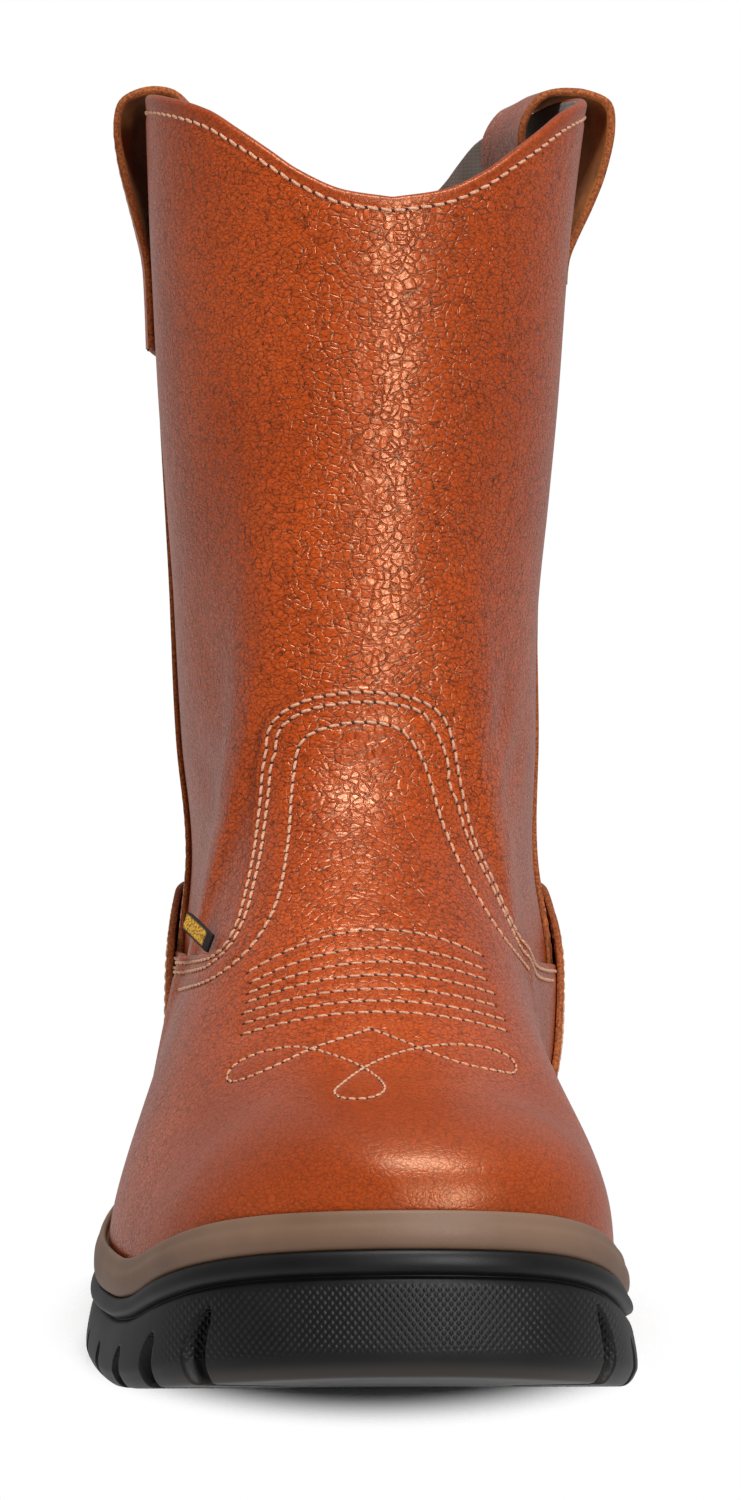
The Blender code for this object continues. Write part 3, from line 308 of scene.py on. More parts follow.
STRAP_STEP_START = 84.0
STRAP_STEP_RUN = 5.0
STRAP_LATERAL = {
    "name": "pull_strap_lateral",
    "angle": -98.0,
    "drop": "lateral",
    "bulge": 1.2,
    "inner_pull": 2.0,
}
STRAP_MEDIAL = {
    "name": "pull_strap_medial",
    "angle": 105.0,
    "drop": "medial",
    "bulge": 1.45,
    "inner_pull": 4.0,
}

# %% Curves through tables


def column(table, name):
    """One named column of a table as an array."""
    return np.array([row[name] for row in table])


def unit(value):
    """A value kept between 0 and 1."""
    return np.clip(value, 0.0, 1.0)


def lengths(points, power=1.0):
    """Distances walked along a line of points, with each step raised to a power."""
    steps = np.linalg.norm(np.diff(points, axis=0), axis=1) ** power
    return np.concatenate([[0.0], np.cumsum(steps)])


def smooth_curve(xs, ys):
    """A curve through the points that never overshoots between them (monotone cubic)."""
    xs = np.asarray(xs, float)
    ys = np.asarray(ys, float)
    gaps = np.diff(xs)
    slopes = np.diff(ys) / gaps
    tangents = np.empty_like(ys)
    tangents[0] = slopes[0]
    tangents[-1] = slopes[-1]
    for i in range(1, len(xs) - 1):
        before, after = slopes[i - 1], slopes[i]
        if before * after <= 0:
            tangents[i] = 0.0
        else:
            weight_before = 2 * gaps[i] + gaps[i - 1]
            weight_after = gaps[i] + 2 * gaps[i - 1]
            tangents[i] = (weight_before + weight_after) / (weight_before / before + weight_after / after)

    def value(x):
        x = np.clip(x, xs[0], xs[-1])
        i = np.clip(np.searchsorted(xs, x) - 1, 0, len(gaps) - 1)
        t = (x - xs[i]) / gaps[i]
        start = (1 + 2 * t) * (1 - t) ** 2 * ys[i] + t * (1 - t) ** 2 * gaps[i] * tangents[i]
        end = t * t * (3 - 2 * t) * ys[i + 1] + t * t * (t - 1) * gaps[i] * tangents[i + 1]
        return start + end

    return value


def table_curve(table, key, name):
    """The smooth curve of one column of a table against another."""
    return smooth_curve(column(table, key), column(table, name))


def closed_spline(points, samples):
    """A closed curve with continuous curvature through the points, as evenly timed samples."""
    points = np.asarray(points, float)
    count = len(points)
    ahead = np.roll(points, -1, axis=0)
    steps = np.linalg.norm(ahead - points, axis=1) ** 0.5
    system = np.zeros((count, count))
    right = np.zeros_like(points)
    for i in range(count):
        before, here = steps[i - 1], steps[i]
        system[i, i - 1] += before
        system[i, i] += 2 * (before + here)
        system[i, (i + 1) % count] += here
        right[i] = 6 * ((ahead[i] - points[i]) / here - (points[i] - points[i - 1]) / before)
    bends = np.linalg.solve(system, right)
    times = np.concatenate([[0.0], np.cumsum(steps)])
    wanted = np.linspace(0.0, times[-1], samples, endpoint=False)
    i = np.clip(np.searchsorted(times, wanted, side="right") - 1, 0, count - 1)
    h = steps[i][:, None]
    t = (wanted - times[i])[:, None]
    j = (i + 1) % count
    curve = bends[i] * (h - t) ** 3 / (6 * h) + bends[j] * t**3 / (6 * h)
    curve += (points[i] / h - bends[i] * h / 6) * (h - t)
    curve += (points[j] / h - bends[j] * h / 6) * t
    return curve


def inset_loop(loop, inset):
    """A closed outline moved inwards by a distance."""
    along = np.roll(loop, -1, axis=0) - np.roll(loop, 1, axis=0)
    along /= np.linalg.norm(along, axis=1)[:, None]
    inwards = np.stack([along[:, 1], -along[:, 0]], axis=1)
    return loop + inset * inwards


def sole_outline(samples=720):
    """The widest outline of the outsole, round from the toe by the lateral side, at the driving size."""
    shares = np.stack([column(OUTLINE, "across"), column(OUTLINE, "along")], axis=1)
    loop = closed_spline(shares, samples)
    low, high = loop.min(axis=0), loop.max(axis=0)
    middle = np.array([0.5 * (column(OUTLINE, "across").min() + column(OUTLINE, "across").max()), 0.0])
    shares = (loop - 0.5 * (low + high)) / (high - low) + middle
    return shares * np.array([SOLE_WIDTH, SOLE_LENGTH])


def side_walls(loop):
    """Curves that give the lateral and the medial edge of an outline at a place along the sole."""
    toe = int(np.argmin(loop[:, 1]))
    turned = np.roll(loop, -toe, axis=0)
    heel = int(np.argmax(turned[:, 1]))
    lateral = turned[: heel + 1]
    medial = np.concatenate([turned[heel:], turned[:1]])[::-1]

    def edges(along):
        return np.interp(along, lateral[:, 1], lateral[:, 0]), np.interp(along, medial[:, 1], medial[:, 0])

    return edges, turned[0, 1], turned[heel, 1]


print("tables:", len(OUTLINE), "points round the sole,", len(SHAFT), "sections of the shaft")

# %% The leather surface
OUTER_LOOP = sole_outline()
FEATHER_EDGES, TOE_END, HEEL_END = side_walls(inset_loop(OUTER_LOOP, FEATHER_INSET))

tread_line = table_curve(SOLE_LINES, "along", "tread")
bead_line = table_curve(SOLE_LINES, "along", "bead")
midsole_line = table_curve(SOLE_LINES, "along", "midsole")
feather_line = table_curve(SOLE_LINES, "along", "feather")
ridge_line = table_curve(RIDGE, "along", "height")
roundness = table_curve(RIDGE, "along", "roundness")
shaft_front = table_curve(SHAFT, "height", "front")
shaft_back = table_curve(SHAFT, "height", "back")
shaft_belly = table_curve(SHAFT, "height", "belly")
shaft_half = table_curve(SHAFT, "height", "half")
shaft_taper = table_curve(SHAFT, "height", "taper")
shaft_shift = table_curve(SHAFT, "height", "shift")
collar_height = table_curve(COLLAR, "angle", "height")
heel_level = table_curve(HEEL_LEVELS, "level", "height")
vamp_edge = table_curve(VAMP_EDGE, "angle", "level")
counter_edge = table_curve(COUNTER_EDGE, "angle", "level")

# How the foot's dome and the shaft's oval are rounded, and how softly they run together
DOME_ACROSS = 2.3
MEDIAL_LEAN = 2.6
LEAN_PEAK = 27.0 / 4.0
OVAL = 2.15
BLEND = 12.0
SMALLEST = 0.05


def boot_field(x, y, z):
    """Negative inside the leather's outer form, positive outside, roughly in millimetres."""
    lateral, medial = FEATHER_EDGES(y)
    half = np.maximum(0.5 * (medial - lateral), SMALLEST)
    base = feather_line(y)
    rise = np.maximum(ridge_line(y) - base, SMALLEST)
    up = np.maximum(z - base, 0.0) / rise
    lean = MEDIAL_LEAN * LEAN_PEAK * up**2 * np.maximum(1.0 - up, 0.0)
    across = np.abs(x - 0.5 * (lateral + medial) - lean) / half
    foot = (np.sqrt(across**DOME_ACROSS + up ** roundness(y)) - 1.0) * np.minimum(half, rise)
    beyond = np.maximum(TOE_END - y, y - HEEL_END)
    foot = np.maximum(foot, beyond)

    belly, wide = shaft_belly(z), shaft_half(z)
    ahead = y < belly
    depth = np.where(ahead, belly - shaft_front(z), shaft_back(z) - belly)
    power = np.where(ahead, OVAL, shaft_taper(z))
    oval = (np.abs(x - shaft_shift(z)) / wide) ** power + (np.abs(y - belly) / depth) ** power
    shaft = (oval ** (1.0 / power) - 1.0) * wide

    overlap = np.maximum(BLEND - np.abs(foot - shaft), 0.0) / BLEND
    return np.minimum(foot, shaft) - overlap**2 * BLEND * 0.25


INSTEP_END = -5.0
FOOT_SAMPLES = 400
SHAFT_SAMPLES = 120


def front_line():
    """The boot's front profile from toe to collar as a curve of its length: share, place along, height."""
    foot_y = np.linspace(TOE_END, INSTEP_END, FOOT_SAMPLES)
    foot_z = ridge_line(foot_y)
    shaft_z = np.linspace(foot_z[-1], COLLAR_DIP_HEIGHT, SHAFT_SAMPLES)[1:]
    y = np.concatenate([foot_y, shaft_front(shaft_z)])
    z = np.concatenate([foot_z, shaft_z])
    length = np.concatenate([[0.0], np.cumsum(np.hypot(np.diff(y), np.diff(z)))])
    return length / length[-1], y, z


FRONT_SHARE, FRONT_Y, FRONT_Z = front_line()
FOOT_FADE = 0.24
SEAM_SWING = 18.0
SEAM_STRAIGHT = 0.62
SWING_POWER = 1.5
SCALLOP_START = 0.66
SCALLOP_POWER = 1.5
FAN_HALF_WIDTH = 46.0
FAN_SPREAD = 0.82
REACH = 190.0
HALVINGS = 26
PROBE = 0.05


def level_height(angle, level, y):
    """Height of a level where it passes a place along the boot, for one column of the leather."""
    front_y = np.interp(level, FRONT_SHARE, FRONT_Y)
    front_z = np.interp(level, FRONT_SHARE, FRONT_Z)
    share = (HEEL_END - y) / (HEEL_END - front_y)
    plane = heel_level(level) + (front_z - heel_level(level)) * share
    toe_rise = feather_line(TOE_END) - HEEL_SEAT_HEIGHT
    flat = HEEL_SEAT_HEIGHT + toe_rise * (HEEL_END - y) / (HEEL_END - TOE_END)
    fade = unit(1.0 - level / FOOT_FADE)
    turned = np.abs((angle - SHAFT_TWIST + 180.0) % 360.0 - 180.0)
    rise = unit((level - SCALLOP_START) / (1.0 - SCALLOP_START)) ** SCALLOP_POWER
    return plane + fade * (feather_line(y) - flat) + rise * (collar_height(turned) - COLLAR_DIP_HEIGHT)


def leather(angle, level):
    """Points and outward directions of the leather at angles round from the toe and levels up the front."""
    angle, level = np.broadcast_arrays(np.asarray(angle, float), np.asarray(level, float))
    sideways = np.abs(np.sin(np.radians(angle))) ** SWING_POWER
    swing = SEAM_SWING * unit(1.0 - level / SEAM_STRAIGHT) * sideways
    turn = np.radians(angle + np.where((angle % 360.0) < 180.0, swing, -swing))
    front_y = np.interp(level, FRONT_SHARE, FRONT_Y)
    middle = 0.5 * (HEEL_END + front_y)
    long_half = 0.5 * (HEEL_END - front_y)
    spread = FAN_SPREAD * (long_half**2 - FAN_HALF_WIDTH**2) / long_half
    start_y = middle - spread * np.cos(turn)
    lateral, medial = FEATHER_EDGES(start_y)
    start_x = 0.5 * (lateral + medial)
    way_x = long_half * np.sin(turn)
    way_y = -FAN_HALF_WIDTH * np.cos(turn)
    size = np.hypot(way_x, way_y)
    way_x, way_y = way_x / size, way_y / size

    near = np.zeros_like(start_y)
    far = np.full_like(start_y, REACH)
    for _ in range(HALVINGS):
        middle_way = 0.5 * (near + far)
        y = start_y + middle_way * way_y
        inside = boot_field(start_x + middle_way * way_x, y, level_height(angle, level, y)) < 0.0
        near = np.where(inside, middle_way, near)
        far = np.where(inside, far, middle_way)
    x = start_x + near * way_x
    y = start_y + near * way_y
    z = level_height(angle, level, y)

    slope = np.stack(
        [
            boot_field(x + PROBE, y, z) - boot_field(x - PROBE, y, z),
            boot_field(x, y + PROBE, z) - boot_field(x, y - PROBE, z),
            boot_field(x, y, z + PROBE) - boot_field(x, y, z - PROBE),
        ],
        axis=-1,
    )
    slope[..., 2] = np.where(level <= 0.0, 0.0, slope[..., 2])
    slope /= np.linalg.norm(slope, axis=-1)[..., None]
    return np.stack([x, y, z], axis=-1), slope


def offset_leather(angle, level, offset):
    """The leather moved outwards by an offset, with its lowest row kept on the feather line."""
    point, out = leather(angle, level)
    moved = point + out * np.asarray(offset)[..., None]
    level = np.broadcast_to(level, moved.shape[:-1])
    moved[..., 2] = np.where(level <= 0.0, feather_line(moved[..., 1]), moved[..., 2])
    return moved


LEVEL_SAMPLES = 40


def level_at(angle, height):
    """The level on the shaft that has a height at an angle, the collar's own level above the collar."""
    samples = np.linspace(SCALLOP_START, 1.0, LEVEL_SAMPLES)
    place, _ = leather(angle[..., None], samples)
    found = np.empty_like(angle)
    for index in np.ndindex(angle.shape):
        found[index] = np.interp(height[index], place[index][:, 2], samples)
    return found


print("sole from %.1f to %.1f mm along" % (OUTER_LOOP[:, 1].min(), OUTER_LOOP[:, 1].max()))

# %% [markdown]
# ## Shader maths as Python
# A material is a graph of nodes. Wiring it by hand hides the formula, so one small class wraps a socket
# and turns `1 - mask` or `a * b + c` into Math nodes, and a Finish makes any other node by its type.

# %% Sockets with arithmetic
MILLIMETRES = 1000.0
# A Wave texture at scale 1 repeats after this length
WAVE_PERIOD = 0.314


class Value:
    """An output socket of a finish, with arithmetic that adds Math nodes."""

    def __init__(self, finish, socket):
        self.finish = finish
        self.socket = socket

    def maths(self, operation, first, second):
        return self.finish.node("Math", {"operation": operation}, {0: first, 1: second})

    def __add__(self, other):
        return self.maths("ADD", self, other)

    def __mul__(self, other):
        return self.maths("MULTIPLY", self, other)

    def __rsub__(self, other):
        return self.maths("SUBTRACT", other, self)

    __radd__ = __add__
    __rmul__ = __mul__

    def least(self, other):
        return self.maths("MINIMUM", self, other)

    def step(self, low, high):
        """0 below low, 1 above high, smooth between."""
        sockets = {"Value": self, "From Min": low, "From Max": high}
        return self.finish.node("MapRange", {"interpolation_type": "SMOOTHSTEP"}, sockets)


def linear(red, green, blue):
    """A screen colour from 0 to 255 as the linear colour that shaders use, by the standard screen curve."""
    shares = [c / 255.0 for c in (red, green, blue)]
    return (*[s / 12.92 if s <= 0.04045 else ((s + 0.055) / 1.055) ** 2.4 for s in shares], 1.0)


class Finish:
    """A procedural material: a Principled shader and the nodes that feed it."""

    def __init__(self, name, **constants):
        self.material = bpy.data.materials.new(name)
        self.material.use_nodes = True
        self.tree = self.material.node_tree
        self.shader = self.tree.nodes["Principled BSDF"]
        for socket, value in constants.items():
            self.shader.inputs[socket.replace("_", " ")].default_value = value

    def node(self, kind, settings, sockets, output=0):
        """Adds a node of a type, sets it up, then gives its sockets values or links."""
        made = self.tree.nodes.new("ShaderNode" + kind)
        for name, value in settings.items():
            setattr(made, name, value)
        for name, value in sockets.items():
            self.feed(made.inputs[name], value)
        return Value(self, made.outputs[output])

    def feed(self, socket, value):
        """Links a value to a socket, or sets the socket to a plain number, colour or vector."""
        if isinstance(value, Value):
            self.tree.links.new(value.socket, socket)
        else:
            socket.default_value = value

    def place(self, stretch=(1.0, 1.0, 1.0), turn=(0.0, 0.0, 0.0)):
        """Object coordinates in millimetres, turned and stretched."""
        spot = self.node("TexCoord", {}, {}, "Object")
        scale = [MILLIMETRES * s for s in stretch]
        return self.node("Mapping", {}, {"Vector": spot, "Rotation": turn, "Scale": scale})

    def noise(self, place, size, detail=2.0, roughness=0.5, output="Fac"):
        """A cloudy pattern whose clouds are about a size across, in millimetres."""
        sockets = {"Vector": place, "Scale": 1.0 / size, "Detail": detail, "Roughness": roughness}
        return self.node("TexNoise", {}, sockets, output)

    def cells(self, place, size):
        """Cells about a size across: the distance from their edges."""
        settings = {"feature": "DISTANCE_TO_EDGE", "voronoi_dimensions": "3D"}
        return self.node("TexVoronoi", settings, {"Vector": place, "Scale": 1.0 / size}, "Distance")

    def bands(self, place, direction, pitch, **sockets):
        """Parallel ribs at a pitch in millimetres."""
        settings = {"wave_type": "BANDS", "bands_direction": direction}
        sockets = {"Vector": place, "Scale": WAVE_PERIOD / pitch, **sockets}
        return self.node("TexWave", settings, sockets, "Fac")

    def warped(self, place, size, amount):
        """Coordinates pushed about by a noise, so that a pattern isn't regular."""
        push = self.noise(place, size, detail=1.0, output="Color")
        centred = self.node("VectorMath", {"operation": "SUBTRACT"}, {0: push, 1: (0.5, 0.5, 0.5)})
        scaled = self.node("VectorMath", {"operation": "SCALE"}, {0: centred, "Scale": amount})
        return self.node("VectorMath", {"operation": "ADD"}, {0: place, 1: scaled})

    def attribute(self, name):
        """A number painted on the mesh."""
        return self.node("Attribute", {"attribute_name": name}, {}, "Fac")

    def mix(self, factor, first, second):
        """A colour part of the way from one to another."""
        return self.node("Mix", {"data_type": "RGBA"}, {0: factor, 6: first, 7: second}, 2)

    def look(self, colour, rough, height, bump, depth):
        """Feeds the shader: colour, roughness, and a height times a depth in millimetres as a bump."""
        self.feed(self.shader.inputs["Base Color"], colour)
        self.feed(self.shader.inputs["Roughness"], rough)
        sockets = {"Height": height, "Strength": bump, "Distance": depth * METRES}
        self.feed(self.shader.inputs["Normal"], self.node("Bump", {}, sockets))
        return self.material


print("shader helpers ready")

# %% [markdown]
# ## Leather
# The hide is pebbled: flat-topped cells about two millimetres across with narrow creases between them,
# pulled nearly smooth over the toe. One cell pattern gives the pebbles and a finer one the crumbs on them,
# one noise gives wrinkles and another the pores. How strong the grain is comes from an attribute named
# grain on each panel, so the same hide serves the whole boot. An image of leather would be quicker, but it
# has seams and one fixed scale. The creases and the edges of the crumbs are darkened with painted shade,
# the tops of the pebbles are lightened with a painted highlight, and the smooth toe is burnished darker.

# %% Finishes of leather
PEBBLE_SIZE = 2.0
PEBBLE_STRETCH = (0.9, 0.9, 1.25)
PEBBLE_CREASE = 0.17
CRUMB_SIZE = 1.1
CRUMB_CREASE = 0.22
FOLD_SIZE = 4.0
WRINKLE_SIZE = 3.2
PORE_SIZE = 0.5
BLOTCH_SIZE = 46.0
TOE_BURNISH = 0.30

TAN = linear(192, 77, 25)
TAN_DEEP = linear(174, 65, 18)
# Colour of the painted highlight on the tops of the pebbles
TAN_PEBBLE_HIGHLIGHT = linear(204, 94, 38)
# Colour of the painted shade in the creases, and of the toe's burnish
TAN_SHADE_AND_BURNISH = linear(66, 20, 5)
WARM_GLOSS = (1.0, 0.62, 0.38, 1.0)
RAW_EDGE = linear(186, 100, 40)
RAW_DARK = linear(112, 54, 20)
SUEDE = linear(196, 124, 52)
SUEDE_DARK = linear(146, 82, 28)


def leather_finish(name):
    """The grain side of the hide."""
    hide = Finish(name, Specular_IOR_Level=0.9, Specular_Tint=WARM_GLOSS)
    spot = hide.place()
    slack = hide.warped(hide.place(stretch=PEBBLE_STRETCH), size=5.0, amount=2.6)
    bent = hide.warped(slack, size=1.4, amount=0.5)
    grain = hide.attribute("grain")
    fold = hide.noise(spot, FOLD_SIZE).step(0.30, 0.60)
    pebble = hide.cells(bent, PEBBLE_SIZE).step(0.0, PEBBLE_CREASE)
    crumb = hide.cells(bent, CRUMB_SIZE).step(0.0, CRUMB_CREASE)
    wrinkle = hide.noise(bent, WRINKLE_SIZE)
    pore = hide.noise(spot, PORE_SIZE, roughness=0.6)
    strong = grain * (0.45 + 0.55 * fold)
    height = strong * (0.16 * pebble + 0.10 * wrinkle) + 0.014 * crumb + 0.006 * pore
    # Where the creases lie: below they take a painted shade, darkest where the grain is strongest
    crease = strong * (1.0 - pebble)
    blotch = hide.noise(spot, BLOTCH_SIZE, detail=3.0).step(0.3, 0.72)
    body = hide.mix(blotch, TAN_DEEP, TAN)
    # The tops of the pebbles are painted lighter, patchy with the pores: a painted highlight
    body = hide.mix(pebble * pore.step(0.40, 0.7) * 0.3, body, TAN_PEBBLE_HIGHLIGHT)
    smooth = 1.0 - grain.step(0.15, 0.55)
    # Dark speckle at the edges of the crumbs, thinned by the pores: painted shade in the fine creases
    crumb_edge_shade = (1.0 - crumb) * pore.step(0.3, 0.6) * (0.35 + 0.32 * grain.step(0.15, 0.6))
    shade = (crease * 0.42 + crumb_edge_shade).least(1.0)
    # Painted shade in the creases and at the crumbs' edges, and the smooth toe burnished darker
    colour = hide.mix((shade + TOE_BURNISH * smooth).least(1.0), body, TAN_SHADE_AND_BURNISH)
    rough = 0.23 + 0.10 * smooth + 0.14 * shade + 0.05 * pore
    return hide.look(colour, rough, height, bump=1.0, depth=1.0)


def edge_finish(name, light, dark):
    """Cut leather: short fibres, light and dark."""
    cut = Finish(name)
    fibre = cut.noise(cut.place(), size=0.6, detail=3.0, roughness=0.7)
    colour = cut.mix(fibre.step(0.35, 0.7), dark, light)
    return cut.look(colour, 0.7 + 0.2 * fibre, fibre, bump=0.7, depth=0.3)


def suede_finish(name):
    """The fuzzy flesh side of the hide."""
    nap = Finish(name, Sheen_Weight=0.12, Sheen_Roughness=0.5, Sheen_Tint=WARM_GLOSS)
    spot = nap.place()
    fuzz = nap.noise(spot, size=0.5, detail=4.0, roughness=0.75)
    cloud = nap.noise(spot, size=7.0, detail=3.0)
    colour = nap.mix((0.5 * fuzz + 0.5 * cloud).step(0.35, 0.65), SUEDE_DARK, SUEDE)
    return nap.look(colour, 0.9 + 0.1 * fuzz, fuzz, bump=0.8, depth=0.4)


leather_skin = leather_finish("tan_pebbled_leather")
raw_edge = edge_finish("raw_leather_edge", RAW_EDGE, RAW_DARK)
strap_suede = suede_finish("strap_suede")
print("leather finishes ready")

# %% [markdown]
# ## Lining, thread and rubber
# The lining is a grey-taupe cloth, the thread is a pale tan cord, the midsole is a satin taupe rubber and
# the outsole is a black one. The outsole's finish reads three attributes: bumper, where the toe is moulded
# with a fine diagonal check, groove, where the rubber is painted near-black as the shade in the grooves
# between the lugs, and scuffed, where the lip of the toe is rubbed paler. Painting them on the mesh keeps
# each in its place on the sole.

# %% Finishes of cloth, thread and rubber
LINING_PITCH = 0.9
FOOTBED_PITCH = 1.4
CHECK_PITCH = 1.15
CHECK_LEAN = math.radians(38.0)


def cloth_finish(name, light, dark, pitch):
    """A small plain weave that follows the object's own directions."""
    cloth = Finish(name, Sheen_Weight=0.2)
    spot = cloth.place()
    ribs = [cloth.bands(spot, way, pitch, Distortion=0.6, Detail=1.0) for way in ("X", "Z")]
    weave = ribs[0] * 0.5 + ribs[1] * 0.5
    dirt = cloth.noise(spot, size=12.0, detail=3.0)
    colour = cloth.mix((0.15 * weave + 0.85 * dirt).step(0.2, 0.8), dark, light)
    return cloth.look(colour, 0.85 + 0.1 * dirt, weave, bump=0.6, depth=0.06)


def thread_finish(name, light, dark):
    """Waxed thread with its strands showing."""
    thread = Finish(name)
    strand = thread.noise(thread.place(), size=0.35)
    colour = thread.mix(strand.step(0.3, 0.7), dark, light)
    return thread.look(colour, 0.5 + 0.3 * strand, strand, bump=0.6, depth=0.15)


def midsole_finish(name):
    """Satin moulded rubber, a little cloudy."""
    foam = Finish(name, Specular_IOR_Level=0.4)
    spot = foam.place()
    mould = foam.noise(spot, size=0.7, detail=3.0)
    cloud = foam.noise(spot, size=26.0, detail=3.0)
    colour = foam.mix(cloud.step(0.3, 0.7), linear(112, 85, 67), linear(127, 99, 80))
    return foam.look(colour, 0.46 + 0.16 * mould, mould, bump=0.35, depth=0.12)


def rubber_finish(name):
    """Black rubber with a check on the toe bumper, painted shade in the grooves and a scuffed lip."""
    rubber = Finish(name, Specular_IOR_Level=0.4)
    spot = rubber.place()
    bumper = rubber.attribute("bumper")
    turned = [rubber.place(turn=(0.0, lean, 0.0)) for lean in (CHECK_LEAN, -CHECK_LEAN)]
    ribs = [rubber.bands(place, "X", CHECK_PITCH) for place in turned]
    check = ribs[0] * ribs[1]
    mould = rubber.noise(spot, size=0.5, detail=3.0)
    dust = rubber.noise(spot, size=14.0, detail=4.0)
    colour = rubber.mix(dust.step(0.35, 0.75), linear(12, 11, 11), linear(19, 18, 18))
    colour = rubber.mix(bumper * check * 0.35, colour, linear(42, 41, 41))
    colour = rubber.mix(rubber.attribute("scuffed"), colour, linear(58, 52, 47))
    # Near-black where the groove attribute is high: painted shade in the grooves and the tread bars
    colour = rubber.mix(rubber.attribute("groove"), colour, linear(4, 4, 4))
    height = bumper * check + 0.18 * mould
    return rubber.look(colour, 0.42 + 0.16 * dust, height, bump=0.7, depth=0.3)


lining_cloth = cloth_finish("lining_cloth", linear(140, 120, 106), linear(98, 82, 72), LINING_PITCH)
footbed_cloth = cloth_finish("footbed_cloth", linear(96, 90, 86), linear(60, 56, 54), FOOTBED_PITCH)
pale_thread = thread_finish("pale_thread", linear(226, 178, 146), linear(178, 120, 90))
# Dark brown for the domes that are painted as the shade in the needle holes
hole_shade_finish = edge_finish("needle_hole_shade", linear(72, 30, 14), linear(44, 18, 9))
taupe_rubber = midsole_finish("taupe_midsole")
black_rubber = rubber_finish("black_rubber")
print("cloth, thread and rubber finishes ready")

# %% [markdown]
# ## Sheets and pieces
# Every panel begins as a flat grid whose points are then laid on the leather surface, as a cut hide is
# pulled over a last. The grid's order gives its rows and columns, so an attribute can be painted on it
# by formula. A Solidify modifier gives a panel its thickness, with the cut edge as its second material.

# %% Grids and pieces
PANEL_CLEAR = 0.1


def flat_rows(bm, points, **painted):
    """A grid of quads laid on an array of points, with one painted number a point for each attribute."""
    rows, columns = points.shape[:2]
    numbers = bm.verts.layers.float
    layers = {name: numbers.get(name) or numbers.new(name) for name in painted}
    made = bmesh.ops.create_grid(bm, x_segments=columns - 1, y_segments=rows - 1, size=1.0)["verts"]
    for vert, place in zip(made, points.reshape(-1, 3)):
        vert.co = place
    for name, values in painted.items():
        for vert, value in zip(made, np.broadcast_to(values, (rows, columns)).ravel()):
            vert[layers[name]] = value
    return made


def close_columns(bm, verts, columns):
    """Welds the last column of a grid to its first."""
    starts = range(0, len(verts), columns)
    bmesh.ops.weld_verts(bm, targetmap={verts[start + columns - 1]: verts[start] for start in starts})


def outward_faces(bm, verts, out):
    """Turns a sheet's faces so that they look along the outward directions of its points."""
    bm.normal_update()
    middle = len(verts) // 2
    if verts[middle].normal.dot(Vector(out.reshape(-1, 3)[middle])) < 0.0:
        bmesh.ops.reverse_faces(bm, faces=bm.faces)


def face_outwards(bm):
    """Turns the faces of a closed body outwards."""
    bmesh.ops.recalc_face_normals(bm, faces=bm.faces)
    if bm.calc_volume(signed=True) < 0.0:
        bmesh.ops.reverse_faces(bm, faces=bm.faces)


def add_piece(name, bm, finishes, stands_for=()):
    """A finished piece at the origin, riding on the boot."""
    bmesh.ops.scale(bm, vec=(METRES, METRES, METRES), verts=bm.verts)
    mesh = bpy.data.meshes.new(name)
    bm.to_mesh(mesh)
    bm.free()
    mesh.shade_smooth()
    for finish in finishes:
        mesh.materials.append(finish)
    piece = bpy.data.objects.new(name, mesh)
    bpy.context.scene.collection.objects.link(piece)
    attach(piece, "root")
    if stands_for:
        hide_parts(*stands_for)
    print("%s: %d faces" % (name, len(mesh.polygons)))
    return piece


def thicken(piece, thickness):
    """Gives a sheet its thickness inwards; its cut edge takes the second material."""
    wall = piece.modifiers.new("thickness", "SOLIDIFY")
    wall.thickness = thickness * METRES
    wall.offset = -1.0
    wall.use_even_offset = False
    wall.use_rim = True
    wall.material_offset_rim = 1


def lay_panel(name, points, outs, grain, thickness, stands_for):
    """A panel of hide on the boot with raw cut edges, a little thinner than the room it has."""
    bm = bmesh.new()
    outward_faces(bm, flat_rows(bm, points, grain=grain), outs)
    panel = add_piece(name, bm, [leather_skin, raw_edge], [stands_for])
    thicken(panel, thickness - PANEL_CLEAR)


print("helpers for sheets ready")

# %% [markdown]
# ## Creases
# A worn boot folds where the foot bends and slumps above the heel. Cloth simulation would fold it
# anywhere, and this stiff hide keeps the shape of its last, so the main creases are given one by one: soft
# troughs at an angle and a level on the leather, turned and sized in millimetres.

# %% Soft creases
# Where a trough lies, how long, wide and deep it is, and how far it is turned from level
CREASES = [
    {"angle": 34.0, "level": 0.585, "long": 15.0, "wide": 5.0, "deep": 0.9, "turn": 65.0},
    {"angle": 46.0, "level": 0.560, "long": 18.0, "wide": 6.0, "deep": 0.7, "turn": 50.0},
    {"angle": -48.0, "level": 0.545, "long": 20.0, "wide": 7.0, "deep": 0.6, "turn": -40.0},
    {"angle": -40.0, "level": 0.640, "long": 22.0, "wide": 8.0, "deep": 0.5, "turn": -60.0},
    {"angle": 10.0, "level": 0.660, "long": 26.0, "wide": 9.0, "deep": 0.5, "turn": 0.0},
    {"angle": -6.0, "level": 0.300, "long": 34.0, "wide": 6.0, "deep": 0.35, "turn": 0.0},
    {"angle": 2.0, "level": 0.250, "long": 30.0, "wide": 6.0, "deep": 0.3, "turn": 0.0},
    {"angle": 150.0, "level": 0.560, "long": 30.0, "wide": 6.0, "deep": 0.9, "turn": 10.0},
    {"angle": -150.0, "level": 0.590, "long": 30.0, "wide": 6.0, "deep": 0.9, "turn": -12.0},
    {"angle": 176.0, "level": 0.640, "long": 34.0, "wide": 8.0, "deep": 0.8, "turn": 4.0},
]
FRONT_LENGTH = 283.0
SIDE_LENGTH_PER_DEGREE = 1.0


